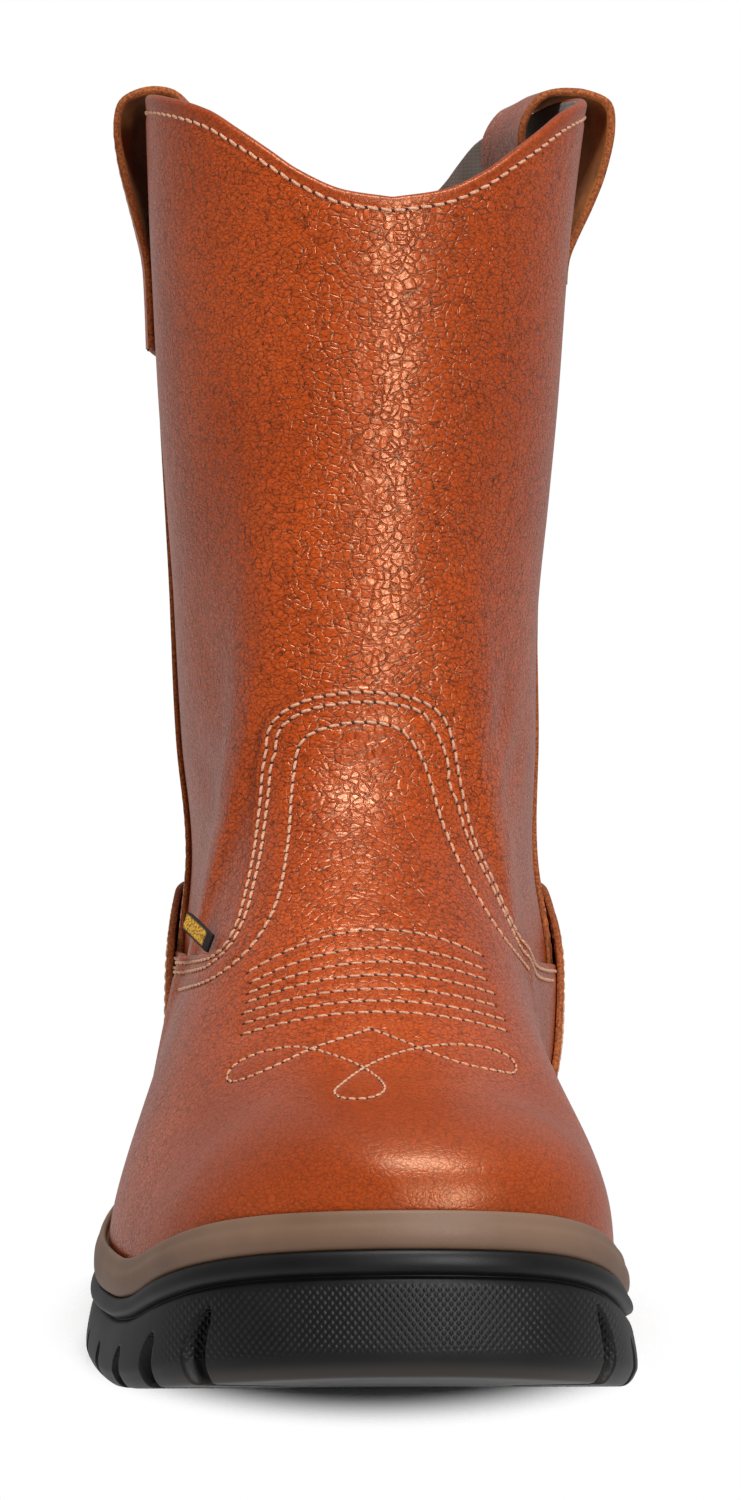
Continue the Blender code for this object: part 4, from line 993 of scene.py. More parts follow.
def creases(angle, level):
    """How far the leather sinks at a place, from the listed creases."""
    sunk = np.zeros(np.broadcast(angle, level).shape)
    for crease in CREASES:
        sideways = ((angle - crease["angle"] + 180.0) % 360.0 - 180.0) * SIDE_LENGTH_PER_DEGREE
        up = (level - crease["level"]) * FRONT_LENGTH
        turn = math.radians(crease["turn"])
        along = sideways * math.cos(turn) + up * math.sin(turn)
        away = up * math.cos(turn) - sideways * math.sin(turn)
        sunk += crease["deep"] * np.exp(-((along / crease["long"]) ** 2) - (away / crease["wide"]) ** 2)
    return sunk


def panel_points(angle, level, lift):
    """Points and outward directions of a leather panel lying at a lift over the last."""
    angle, level, lift = np.broadcast_arrays(*[np.asarray(a, float) for a in (angle, level, lift)])
    _, out = leather(angle, level)
    points = offset_leather(angle, level, lift - creases(angle, level))
    return points, out


print("hand-set creases:", len(CREASES))

# %% [markdown]
# ## Stitch lines
# Lockstitch shows as a row of short plump dashes. Each dives into a needle hole at both ends, and the
# pull of the thread sinks the leather along the row. So a row is planned first, as points on the surface;
# then the panel is dented under it, and last one tube is laid along the row, plump in the middle of each
# stitch and pinched at its ends, with a small dark dome at every pinch as the painted shade of the needle
# hole. A texture could fake this from the front, but not from the side.

# %% Planning rows of stitches
STITCH_PITCH = 2.75
WIDE_PITCH = 3.0
THREAD_RADIUS = 0.36
FINE_THREAD_RADIUS = 0.28
TROUGH_DEPTH = 0.38
TROUGH_WIDTH = 0.95
TROUGH_PITCH = 0.5
ANGLE_PROBE = 0.2
LEVEL_PROBE = 0.001

stitch_rows = []


def evenly(points, outs, spacing):
    """A line of points and outward directions, taken again at even distances along it."""
    length = lengths(points)
    count = max(2, int(round(length[-1] / spacing)) + 1)
    wanted = np.linspace(0.0, length[-1], count)
    lay = [np.stack([np.interp(wanted, length, a[:, k]) for k in range(3)], axis=1) for a in (points, outs)]
    return lay[0], lay[1] / np.linalg.norm(lay[1], axis=1)[:, None]


def keep_row(panel, points, outs, pitch, depth, radius):
    """Keeps the needle holes of a row of stitches: evenly spaced, sunk into the leather."""
    points, outs = evenly(points, outs, pitch)
    stitch_rows.append({"panel": panel, "points": points - depth * outs, "outs": outs, "radius": radius})


def plan_row(panel, angle, level, lift, pitch=STITCH_PITCH, radius=THREAD_RADIUS):
    """Plans a row of stitches on a panel along angles and levels."""
    points, outs = panel_points(angle, level, lift)
    keep_row(panel, points, outs, pitch, TROUGH_DEPTH, radius)


def inset_from(angle, level, lift, inset, below=True):
    """Angles and levels of a line that runs at a distance inside a panel's edge."""
    points, out = panel_points(angle, level, lift)
    by_angle = (panel_points(angle + ANGLE_PROBE, level, lift)[0] - points) / ANGLE_PROBE
    by_level = (panel_points(angle, level + LEVEL_PROBE, lift)[0] - points) / LEVEL_PROBE
    run = np.gradient(points, axis=0)
    run /= np.linalg.norm(run, axis=1)[:, None]
    inward = np.cross(run, out) * (1.0 if below else -1.0)
    system = np.stack([by_angle, by_level], axis=-1)
    steps = np.array([np.linalg.lstsq(m, inset * v, rcond=None)[0] for m, v in zip(system, inward)])
    return angle + steps[:, 0], level + steps[:, 1]


def distances(points, line):
    """How far each point is from the nearest place of a line."""
    tree = KDTree(len(line))
    for i, place in enumerate(line):
        tree.insert(place, i)
    tree.balance()
    return np.array([tree.find(point)[2] for point in points.reshape(-1, 3)]).reshape(points.shape[:-1])


def dented(points, outs, panel):
    """Sinks the points of a panel along its rows of stitches."""
    lines = []
    for row in stitch_rows:
        if row["panel"] == panel:
            lines.append(evenly(row["points"] + TROUGH_DEPTH * row["outs"], row["outs"], TROUGH_PITCH)[0])
    away = distances(points, np.concatenate(lines))
    sunk = TROUGH_DEPTH * np.exp(-((away / TROUGH_WIDTH) ** 2))
    return points - outs * sunk[..., None]


print("stitch pitch %.2f mm" % STITCH_PITCH)

# %% Thread, and dark domes painted as the shade in each needle hole
STITCH_RINGS = 8
STITCH_SIDES = 6
STITCH_SLANT = 0.12
STITCH_FULLNESS = 3.0
STITCH_PINCH = 0.02
STITCH_RISE = 1.5
STITCH_DIVE = 0.75
HOLE_RADIUS = 0.46
HOLE_STRETCH = 1.5
HOLE_HEIGHT = 0.24
HOLE_SEGMENTS = {"u_segments": 6, "v_segments": 4}


def stitch_tube(row):
    """A row of stitches as one grid round a line: plump in the middle of a stitch, pinched at its ends."""
    points, outs = row["points"], row["outs"]
    share = np.linspace(0.0, 1.0, STITCH_RINGS)[None, :, None]
    start, end = points[:-1, None], points[1:, None]
    out = 0.5 * (outs[:-1, None] + outs[1:, None])
    run = end - start
    side = np.cross(run, out)
    side /= np.linalg.norm(side, axis=-1)[..., None]
    slant = STITCH_SLANT * (share - 0.5) * np.linalg.norm(run, axis=-1)[..., None]
    along = start + share * run + side * slant
    plump = np.sqrt(unit(1.0 - np.abs(2.0 * share - 1.0) ** STITCH_FULLNESS)) + STITCH_PINCH
    centre = along + out * row["radius"] * (STITCH_RISE * plump - STITCH_DIVE)
    turn = np.linspace(0.0, 2.0 * np.pi, STITCH_SIDES + 1)[None, None, :, None]
    ring = np.cos(turn) * side[:, :, None] + np.sin(turn) * out[:, :, None]
    tube = centre[:, :, None] + row["radius"] * plump[:, :, None] * ring
    return tube.reshape(-1, STITCH_SIDES + 1, 3)


def needle_hole_shades(row):
    """Painted shade in the needle holes of a row, as a bmesh of small flat dark domes."""
    holes = bmesh.new()
    for place, out, run in zip(row["points"], row["outs"], np.gradient(row["points"], axis=0)):
        run = run / np.linalg.norm(run)
        axes = Matrix.Identity(4)
        axes.col[0].xyz = Vector(np.cross(run, out)) * HOLE_RADIUS
        axes.col[1].xyz = Vector(run) * HOLE_RADIUS * HOLE_STRETCH
        axes.col[2].xyz = Vector(out) * HOLE_HEIGHT
        axes.col[3].xyz = Vector(place)
        bmesh.ops.create_uvsphere(holes, radius=1.0, matrix=axes, **HOLE_SEGMENTS)
    return holes


def gather(bm, part):
    """Adds a finished bmesh to another."""
    mesh = bpy.data.meshes.new("gathered")
    part.to_mesh(mesh)
    part.free()
    bm.from_mesh(mesh)
    bpy.data.meshes.remove(mesh)


def lay_stitches(name, panels):
    """Threads of the rows on some panels, and dark domes painted as the shade in their needle holes, as two
    pieces.
    """
    thread, holes = bmesh.new(), bmesh.new()
    for row in stitch_rows:
        if row["panel"] in panels:
            cord = bmesh.new()
            tube = stitch_tube(row)
            close_columns(cord, flat_rows(cord, tube), tube.shape[1])
            bmesh.ops.recalc_face_normals(cord, faces=cord.faces)
            gather(thread, cord)
            gather(holes, needle_hole_shades(row))
    add_piece(name + "_thread", thread, [pale_thread])
    # The dark domes are painted shade in the needle holes
    add_piece(name + "_needle_hole_shades", holes, [hole_shade_finish])


print("thread %.2f and %.2f mm thick" % (2.0 * THREAD_RADIUS, 2.0 * FINE_THREAD_RADIUS))

# %% [markdown]
# ## Finding a place on the vamp from the photograph
# The arcs and the looped flourish on the vamp are decoration, so they follow the picture. A grid of
# vamp points is projected into the picture once, and a pixel is looked up in it: the nearest grid point,
# then one step along the grid's own slopes. What comes back are an angle and a level on the leather.

# %% From a pixel to the leather
VAMP_LIFT = OVERLAY_GAP + OVERLAY_THICKNESS
LOOKUP_SIDE = 70.0
LOOKUP_ANGLE_STEP = 1.0
LOOKUP_LOWEST, LOOKUP_HIGHEST = 0.10, 0.70
LOOKUP_LEVEL_STEP = 0.005
HIDDEN_FAR = 1e9
ROW_SAMPLES = 420

lookup_angles = np.arange(-LOOKUP_SIDE, LOOKUP_SIDE + 0.5 * LOOKUP_ANGLE_STEP, LOOKUP_ANGLE_STEP)
lookup_levels = np.arange(LOOKUP_LOWEST, LOOKUP_HIGHEST, LOOKUP_LEVEL_STEP)
lookup_angle, lookup_level = np.meshgrid(lookup_angles, lookup_levels)
lookup_points, lookup_outs = panel_points(lookup_angle, lookup_level, VAMP_LIFT)
lookup_across, lookup_down = pixel_of(lookup_points)
lookup_hidden = ((eye - lookup_points) * lookup_outs).sum(axis=-1) < 0.0


def vamp_under(across, down):
    """Angle and level of the vamp under a pixel of the photograph."""
    far = (lookup_across - across) ** 2 + (lookup_down - down) ** 2
    far = far + np.where(lookup_hidden, HIDDEN_FAR, 0.0)
    r, c = np.unravel_index(np.argmin(far), far.shape)
    r = min(max(r, 1), len(lookup_levels) - 2)
    c = min(max(c, 1), len(lookup_angles) - 2)
    slopes = []
    for grid in (lookup_across, lookup_down):
        slopes.append([(grid[r, c + 1] - grid[r, c - 1]) / 2.0, (grid[r + 1, c] - grid[r - 1, c]) / 2.0])
    miss = np.array([across - lookup_across[r, c], down - lookup_down[r, c]])
    step = np.linalg.solve(np.array(slopes), miss)
    return lookup_angles[c] + step[0] * LOOKUP_ANGLE_STEP, lookup_levels[r] + step[1] * LOOKUP_LEVEL_STEP


def smooth_line(points, samples):
    """An open curve through points that turns smoothly at each one."""
    points = np.asarray(points, float)
    times = lengths(points, 0.5)
    tangents = np.gradient(points, times, axis=0)
    wanted = np.linspace(0.0, times[-1], samples)
    i = np.clip(np.searchsorted(times, wanted, side="right") - 1, 0, len(points) - 2)
    gap = (times[i + 1] - times[i])[:, None]
    t = ((wanted - times[i])[:, None]) / gap
    start = (1 + 2 * t) * (1 - t) ** 2 * points[i] + t * (1 - t) ** 2 * gap * tangents[i]
    end = t * t * (3 - 2 * t) * points[i + 1] + t * t * (t - 1) * gap * tangents[i + 1]
    return start + end


def plan_picture_row(pixels, pitch, samples=ROW_SAMPLES, radius=FINE_THREAD_RADIUS):
    """Plans a row on the vamp through pixels of the photograph."""
    places = np.array([vamp_under(*spot) for spot in smooth_line(pixels, samples)])
    plan_row("vamp", places[:, 0], places[:, 1], VAMP_LIFT, pitch, radius)


print("places looked up on the vamp:", lookup_angle.size)

# %% Rows on the vamp
# Pixels of the ends and the top of each arc
ARC_ROWS = [
    {"left": (247, 972), "top": (382, 929), "right": (483, 955)},
    {"left": (250, 982), "top": (380, 947), "right": (484, 968)},
    {"left": (247, 993), "top": (378, 961), "right": (487, 979)},
    {"left": (246, 1002), "top": (388, 974), "right": (495, 993)},
    {"left": (242, 1013), "top": (384, 988), "right": (496, 1005)},
    {"left": (243, 1023), "top": (384, 1000), "right": (505, 1019)},
    {"left": (241, 1034), "top": (384, 1011), "right": (507, 1030)},
]
# Pixels along the looped flourish, in the order of sewing
FLOURISH = [
    (371, 1028), (340, 1038), (311, 1048), (268, 1068), (232, 1081), (226, 1078), (232, 1066), (259, 1052),
    (293, 1046), (311, 1048), (339, 1056), (364, 1067), (383, 1082), (385, 1089), (374, 1096), (356, 1098),
    (339, 1096), (334, 1091), (343, 1082), (364, 1067), (392, 1054), (420, 1047), (443, 1044), (467, 1044),
    (495, 1049), (512, 1058), (517, 1066), (515, 1072), (497, 1070), (457, 1061), (420, 1047), (395, 1037),
    (373, 1029),
]
# Pixels along the innermost row that follows the vamp's edge
INNER_ROW = [
    (178, 990), (210, 979), (249, 948), (275, 905), (287, 848), (293, 778), (302, 740), (336, 725),
    (369, 722), (400, 729), (422, 758), (444, 826), (467, 876), (500, 931), (530, 970),
]
ARC_POINTS = 9
ARC_SAMPLES = 90
ARC_PITCH = 2.9
FLOURISH_PITCH = 2.1
VAMP_ROW_INSETS = (1.7, 3.9)
VAMP_END_CLEAR = 1.0
EDGE_SAMPLES = 1500
ROW_TRIM = 0.15
ROW_THINNING = 6

edge_angles = np.linspace(SEAM_LATERAL + VAMP_END_CLEAR, SEAM_MEDIAL - VAMP_END_CLEAR, EDGE_SAMPLES)
edge_points, _ = panel_points(edge_angles, vamp_edge(edge_angles), VAMP_LIFT)
edge_length = lengths(edge_points)


def even_vamp_angles(count):
    """Angles at even distances along the vamp's cut edge."""
    return np.interp(np.linspace(0.0, edge_length[-1], count), edge_length, edge_angles)


def edge_row(edge, angles, levels, lift, inset):
    """Angles and levels of a row inside an edge, without the loops that a sharp turn would give it."""
    row_angles, row_levels = inset_from(angles, levels, lift, inset)
    row_points, _ = panel_points(row_angles, row_levels, lift)
    clear = distances(row_points, edge) > inset - ROW_TRIM
    line = np.stack([row_angles, row_levels * FRONT_LENGTH], axis=1)[clear]
    row_angles, row_levels = smooth_line(line[::ROW_THINNING], ROW_SAMPLES).T
    return row_angles, row_levels / FRONT_LENGTH


def arc_pixels(row):
    """Pixels of a shallow arc through its left end, its top and its right end."""
    left, top, right = (np.array(row[k], float) for k in ("left", "top", "right"))
    share = np.linspace(0.0, 1.0, ARC_POINTS)
    across = left[0] + share * (right[0] - left[0])
    bow = (across - left[0]) * (across - right[0]) / ((top[0] - left[0]) * (top[0] - right[0]))
    chord = left[1] + share * (right[1] - left[1])
    return np.stack([across, chord + (top[1] - np.interp(top[0], across, chord)) * bow], axis=1)


even = even_vamp_angles(ROW_SAMPLES)
for inset in VAMP_ROW_INSETS:
    plan_row("vamp", *edge_row(edge_points, even, vamp_edge(even), VAMP_LIFT, inset), VAMP_LIFT)
plan_picture_row(INNER_ROW, STITCH_PITCH, radius=THREAD_RADIUS)
for row in ARC_ROWS:
    plan_picture_row(arc_pixels(row), ARC_PITCH, ARC_SAMPLES)
plan_picture_row(FLOURISH, FLOURISH_PITCH)
print("rows of stitches planned on the vamp:", len(stitch_rows))

# %% [markdown]
# ## The vamp
# One piece of hide covers the toe and runs up the front of the shaft as a rounded tongue. Its columns are
# spread evenly along its cut edge, because that edge turns sharply beside the tongue, and its rows climb
# from the sole to the edge. The leather is nearly smooth where it is pulled over the toe; its grain comes
# back up the bridge of the foot, on the flanks and on the tongue.

# %% Vamp
VAMP_COLUMNS = 330
VAMP_ROWS = 140
SKIVE = 0.35
SKIVE_SHARE = 0.015
GRAIN_TOE = 0.16
# Where more grain starts, the run it grows over and what it adds: in levels, or in degrees on the flank
GRAIN_BRIDGE = {"start": 0.12, "run": 0.12, "gain": 0.34}
GRAIN_FLANK = {"start": 18.0, "run": 30.0, "gain": 0.60}
GRAIN_TONGUE = {"start": 0.30, "run": 0.1, "gain": 0.30}


def grown(place, growth):
    """0 before the start of a growth, 1 after its run."""
    return unit((place - growth["start"]) / growth["run"])


columns = even_vamp_angles(VAMP_COLUMNS)
share = np.linspace(0.0, 1.0, VAMP_ROWS)[:, None]
angle = np.broadcast_to(columns, (VAMP_ROWS, VAMP_COLUMNS))
level = share * vamp_edge(columns)[None, :]
skived = SKIVE * unit(share - (1.0 - SKIVE_SHARE)) / SKIVE_SHARE
points, outs = panel_points(angle, level, VAMP_LIFT - skived)
flank = grown(np.abs(angle), GRAIN_FLANK)
grain = np.maximum(GRAIN_BRIDGE["gain"] * grown(level, GRAIN_BRIDGE), GRAIN_FLANK["gain"] * flank)
grain = GRAIN_TOE + grain + GRAIN_TONGUE["gain"] * grown(level, GRAIN_TONGUE) * (1.0 - flank)
lay_panel("vamp_leather", dented(points, outs, "vamp"), outs, grain, OVERLAY_THICKNESS, "vamp")

# %% [markdown]
# ## The upper
# Foot and shaft are one hollow wall: leather outside, a cloth lining inside, and a soft rolled edge at
# the collar where the hide is turned over the lining. One grid runs up the outside, over the roll and down
# the inside, so the wall is closed without seams, and the two materials divide it at the roll.

# %% Upper
ROLL_RADIUS = 0.5 * LEATHER_WALL
ROLL_LEVEL = 0.9962
ROLL_ROWS = 7
COVERED_LEVEL = 0.30
COVERED_ROWS = 9
SHAFT_ROWS = 186
LINING_ROWS = 46
FRONT_STEP = 0.8
REAR_COLUMNS = 74
COLLAR_ROW_LEVEL = 0.9895
COLLAR_SAMPLES = 500
GRAIN_MIDDLE = 9.0
GRAIN_SPREAD = 28.0
GRAIN_SIDE = 0.6
COLLAR_EDGE = {"start": 0.985, "run": 0.01}
COLLAR_SMOOTHING = 0.75
PLAINLY_OUTSIDE = 100

front = np.arange(SEAM_LATERAL, SEAM_MEDIAL, FRONT_STEP)
rear = np.linspace(SEAM_MEDIAL, 360.0 + SEAM_LATERAL, REAR_COLUMNS)[1:]
columns = np.concatenate([front, rear])
covered = np.linspace(0.0, COVERED_LEVEL, COVERED_ROWS)
up = np.concatenate([covered, np.linspace(COVERED_LEVEL, ROLL_LEVEL, SHAFT_ROWS)[1:]])
turn = np.linspace(0.0, np.pi, ROLL_ROWS + 2)[1:-1]
down = np.linspace(ROLL_LEVEL, 0.0, LINING_ROWS)
levels = np.concatenate([up, np.full(ROLL_ROWS, ROLL_LEVEL), down])
rolled = ROLL_RADIUS * (np.cos(turn) - 1.0)
lifts = np.concatenate([np.zeros(len(up)), rolled, np.full(LINING_ROWS, -LEATHER_WALL)])
raises = np.concatenate([np.zeros(len(up)), ROLL_RADIUS * np.sin(turn), np.zeros(LINING_ROWS)])

ring = np.linspace(-180.0, 180.0, COLLAR_SAMPLES)
plan_row("upper", ring, np.full_like(ring, COLLAR_ROW_LEVEL), 0.0, WIDE_PITCH)

angle, level = np.meshgrid((columns + 180.0) % 360.0 - 180.0, levels)
points, outs = panel_points(angle, level, np.broadcast_to(lifts[:, None], angle.shape))
points[..., 2] += raises[:, None]
outside = slice(0, len(up))
points[outside] = dented(points[outside], outs[outside], "upper")
pulled = GRAIN_SIDE + (1.0 - GRAIN_SIDE) * np.exp(-(((angle - GRAIN_MIDDLE) / GRAIN_SPREAD) ** 2))
bm = bmesh.new()
verts = flat_rows(bm, points, grain=pulled * (1.0 - COLLAR_SMOOTHING * grown(level, COLLAR_EDGE)))
bm.verts.index_update()
first_lining = (len(up) + ROLL_ROWS - 1) * len(columns)
for face in bm.faces:
    face.material_index = int(min(v.index for v in face.verts) >= first_lining)
outward_faces(bm, verts[: PLAINLY_OUTSIDE * len(columns)], outs[:PLAINLY_OUTSIDE])
close_columns(bm, verts, len(columns))
bmesh.ops.bridge_loops(bm, edges=[e for e in bm.edges if e.is_boundary])
add_piece("upper_leather", bm, [leather_skin, lining_cloth], ["upper"])

# %% [markdown]
# ## Back panel and heel counter
# The back of the shaft is a second hide laid over the front one, with its raw edges facing forwards along
# the side seams, and the heel counter is a third one over both. They are sheets on the same last with a
# larger lift. The counter's front ends ride up over the vamp, so they lift there.

# %% Back panel
SEAM_SHOW = 0.2
SEAM_ROW_INSETS = (2.4, 5.2)
SEAM_ROW_LEVELS = (0.34, 0.972)
SEAM_SAMPLES = 300
BACK_LEVELS = (0.24, 0.993)
BACK_ROWS = 150
BACK_COLUMNS = {"margin": 8.0, "fine": 17, "coarse": 110}
BACK_GRAIN = 0.9


def edged_columns(first, last, margin, fine, coarse):
    """Angles from one edge of a panel to the other, closer together along a margin at both."""
    near = np.linspace(first, first + margin, fine)
    middle = np.linspace(first + margin, last - margin, coarse)[1:-1]
    far = np.linspace(last - margin, last, fine)
    return np.concatenate([near, middle, far])


back_first, back_last = SEAM_MEDIAL + SEAM_SHOW, 360.0 + SEAM_LATERAL - SEAM_SHOW
seam_levels = np.linspace(*SEAM_ROW_LEVELS, SEAM_SAMPLES)
for seam in (back_first, back_last):
    for inset in SEAM_ROW_INSETS:
        line = np.full_like(seam_levels, seam)
        row_angles, row_levels = inset_from(line, seam_levels, BACK_PANEL_STEP, inset, seam == back_first)
        plan_row("back", row_angles, row_levels, BACK_PANEL_STEP, WIDE_PITCH, FINE_THREAD_RADIUS)

columns = edged_columns(back_first, back_last, **BACK_COLUMNS)
angle, level = np.meshgrid(columns, np.linspace(*BACK_LEVELS, BACK_ROWS))
points, outs = panel_points(angle, level, BACK_PANEL_STEP)
points = dented(points, outs, "back")
lay_panel("back_panel_leather", points, outs, BACK_GRAIN, BACK_PANEL_STEP, "upper")

# %% Heel counter
STEP_FADE_LEVEL = 0.2
COUNTER_LAP = 2.6
COUNTER_RISE_RUN = 7.0
COUNTER_RISE_POWER = 0.5
COUNTER_LAP_CLEAR = 0.15
COUNTER_FOOT_LEVEL = 0.03
COUNTER_ROW_INSETS = (2.2, 4.6)
COUNTER_SAMPLES = 600
COUNTER_ROW_ENDS = 8
COUNTER_END_SAMPLES = 160
COUNTER_END_FOOT = 0.05
COUNTER_END_DROP = 0.012
COUNTER_END_LEAN = 0.85
COUNTER_ROWS = 74
COUNTER_COLUMNS = {"margin": 9.0, "fine": 21, "coarse": 120}
COUNTER_GRAIN = 0.6

counter_first, counter_last = SEAM_MEDIAL - COUNTER_LAP, 360.0 + SEAM_LATERAL + COUNTER_LAP


def counter_top(angle):
    """Level of the counter's upper edge, the same on both sides."""
    return counter_edge(np.minimum(angle, 360.0 - angle))


def counter_lift(angle, level):
    """Over the back panel, and over the vamp where the ends lap it."""
    behind = BACK_PANEL_STEP * unit(level / STEP_FADE_LEVEL) + VAMP_LIFT
    from_end = np.minimum(angle - counter_first, counter_last - angle)
    lap = unit(1.0 - from_end / COUNTER_RISE_RUN) ** COUNTER_RISE_POWER
    over_vamp = VAMP_LIFT + OVERLAY_THICKNESS + COUNTER_LAP_CLEAR
    return np.maximum(behind, lap * over_vamp * unit(level / COUNTER_FOOT_LEVEL) + (1.0 - lap) * behind)


counter_angles = np.linspace(counter_first, counter_last, COUNTER_SAMPLES)
top = counter_top(counter_angles)
top_lift = counter_lift(counter_angles, top)
top_points, _ = panel_points(counter_angles, top, top_lift)
for inset in COUNTER_ROW_INSETS:
    row_angles, row_levels = edge_row(top_points, counter_angles, top, top_lift, inset)
    row_angles = row_angles[COUNTER_ROW_ENDS:-COUNTER_ROW_ENDS]
    row_levels = row_levels[COUNTER_ROW_ENDS:-COUNTER_ROW_ENDS]
    plan_row("counter", row_angles, row_levels, counter_lift(row_angles, row_levels))
end_top = counter_top(counter_first) - COUNTER_END_DROP
end_levels = np.linspace(COUNTER_END_FOOT, end_top, COUNTER_END_SAMPLES)
for end, inwards in ((counter_first, 1.0), (counter_last, -1.0)):
    for inset in COUNTER_ROW_INSETS:
        line = end + inwards * inset * np.linspace(COUNTER_END_LEAN, 1.0, COUNTER_END_SAMPLES)
        plan_row("counter", line, end_levels, counter_lift(line, end_levels))

columns = edged_columns(counter_first, counter_last, **COUNTER_COLUMNS)
share = np.linspace(0.0, 1.0, COUNTER_ROWS)[:, None]
angle = np.broadcast_to(columns, (COUNTER_ROWS, len(columns)))
level = share * counter_top(columns)[None, :]
points, outs = panel_points(angle, level, counter_lift(angle, level))
points = dented(points, outs, "counter")
lay_panel("heel_counter_leather", points, outs, COUNTER_GRAIN, OVERLAY_THICKNESS, "heel_counter")

# %% [markdown]
# ## Pull straps
# A strap of hide is folded over each ear of the collar and stitched down inside and out. It is a band of
# points across a path: down the outside, over the top and down the inside. The outer face is grain
# leather, the face towards the shaft is suede, and both long edges are cut raw.

# %% Pull straps
STRAP_ROWS = 90
STRAP_COLUMNS = 25
STRAP_EDGE_ROW = 0.74
STRAP_TROUGH = 0.36
STRAP_PROBE = 0.02
STRAP_GRAIN = 0.5
OUTER_FACE, INNER_FACE = 1.0, -1.0


def strap_points(strap, side, shares):
    """One face of a strap: points at shares of its width for a fine walk along its path."""
    stand_off = column(STRAP_PATH, "stand_off") - strap["inner_pull"] * column(STRAP_PATH, "inner_pull")
    bulge = np.maximum(stand_off - STRAP_REST, 0.0) * strap["bulge"]
    stand_off = np.minimum(stand_off, STRAP_REST) + bulge
    path = smooth_line(np.stack([stand_off, -column(STRAP_PATH, strap["drop"]), bulge], axis=1), STRAP_ROWS)
    lead = np.gradient(path[:, :2], axis=0)
    lead /= np.linalg.norm(lead, axis=1)[:, None]
    off = path[:, 0] + side * 0.5 * STRAP_THICKNESS * lead[:, 1]
    below = -path[:, 1] + side * 0.5 * STRAP_THICKNESS * lead[:, 0]
    angle, below = np.meshgrid(strap["angle"] + STRAP_HALF_ANGLE * shares, below)
    frontness = (strap["angle"] - angle) / STRAP_HALF_ANGLE * np.sign(strap["angle"])
    off = off[:, None] + STRAP_FLARE * frontness * np.maximum(path[:, 2:], 0.0)
    edge_z = collar_height(np.abs(angle - SHAFT_TWIST))
    level = level_at(angle, edge_z - below)
    over = BACK_PANEL_STEP * unit((np.abs(angle) - STRAP_STEP_START) / STRAP_STEP_RUN)
    off = off + np.where(off > 0.0, over, 0.0)
    place, out = leather(angle, level)
    out = out * np.array([1.0, 1.0, 0.0])
    out /= np.linalg.norm(out, axis=-1)[..., None]
    place = place + out * off[..., None]
    place[..., 2] = edge_z - below
    return place


def plan_strap_row(strap, share):
    """Plans a row of stitches along a strap, at a share of its half width."""
    line, beside = strap_points(strap, OUTER_FACE, np.array([share, share + STRAP_PROBE])).transpose(1, 0, 2)
    under = strap_points(strap, INNER_FACE, np.array([share]))[:, 0]
    outs = np.cross(beside - line, np.gradient(line, axis=0))
    outs /= np.linalg.norm(outs, axis=1)[:, None]
    outs *= np.sign((outs * (line - under)).sum(axis=1))[:, None]
    keep_row(strap["name"], line, outs, WIDE_PITCH, STRAP_TROUGH, FINE_THREAD_RADIUS)


def make_strap(strap):
    """A strap as two faces joined along all four edges."""
    shares = np.linspace(-1.0, 1.0, STRAP_COLUMNS)
    bm = bmesh.new()
    outside = set(flat_rows(bm, strap_points(strap, OUTER_FACE, shares), grain=STRAP_GRAIN))
    flat_rows(bm, strap_points(strap, INNER_FACE, shares), grain=0.0)
    for face in bm.faces:
        face.material_index = 0 if face.verts[0] in outside else 1
    bmesh.ops.bridge_loops(bm, edges=[e for e in bm.edges if e.is_boundary])
    for face in bm.faces:
        if len({v in outside for v in face.verts}) == 2:
            face.material_index = 2
    face_outwards(bm)
    finishes = [leather_skin, strap_suede, raw_edge]
    add_piece(strap["name"] + "_leather", bm, finishes, [strap["name"]])


for strap in (STRAP_LATERAL, STRAP_MEDIAL):
    make_strap(strap)
    for share in (-STRAP_EDGE_ROW, STRAP_EDGE_ROW):
        plan_strap_row(strap, share)

# %% [markdown]
# ## Thread
# With all panels in place, the planned rows become thread. The rows of several panels are joined into a
# few pieces, because thousands of separate stitches would slow every tool down.

# %% Thread
lay_stitches("vamp", ("vamp",))
lay_stitches("shaft", ("upper", "back"))
lay_stitches("counter", ("counter",))
lay_stitches("strap", ("pull_strap_lateral", "pull_strap_medial"))

# %% [markdown]
# ## Midsole
# The sole is a stack of outlines: each ring is the plan moved inwards by an amount, at a height read from
# a line along the sole. It could be carved from a block, but close rings give rounded shapes directly. The
# midsole has a soft belly and a rim that cups the foot of the upper as far as the side seams.

# %% Rings of the sole
BELLY_SHARE = 0.45
LIP_HEIGHT = 1.6
LIP_END = 38.0
LIP_FADE = 24.0
WELD = 0.01


def closed(rows):
    """Rows of a grid with their first column repeated at the end."""
    return np.concatenate([rows, rows[:, :1]], axis=1)


def walk_round(loop, count):
    """A closed outline taken again at even distances."""
    whole = np.vstack([loop, loop[:1]])
    length = lengths(whole)
    wanted = np.linspace(0.0, length[-1], count, endpoint=False)
    return np.stack([np.interp(wanted, length, whole[:, k]) for k in range(2)], axis=1)


def inward_of(loop):
    """Inward directions of a closed outline."""
    return inset_loop(loop, 1.0) - loop


def ring_points(loop, inwards, inset, height):
    """One ring of the sole: the plan moved inwards, at heights along it."""
    flat = loop + inset * inwards
    return np.column_stack([flat, height(flat[:, 1])])


def raised(line, lift):
    """A line along the sole, moved up."""
    return lambda y: line(y) + lift


def between(lower, upper, share):
    """A line along the sole, a share of the way from one line to another."""
    return lambda y: lower(y) + share * (upper(y) - lower(y))


def rounded(rings, rows):
    """Rings joined by smooth curves, taken again as more rows."""
    return np.array([smooth_line(rings[:, k], rows) for k in range(rings.shape[1])]).transpose(1, 0, 2)


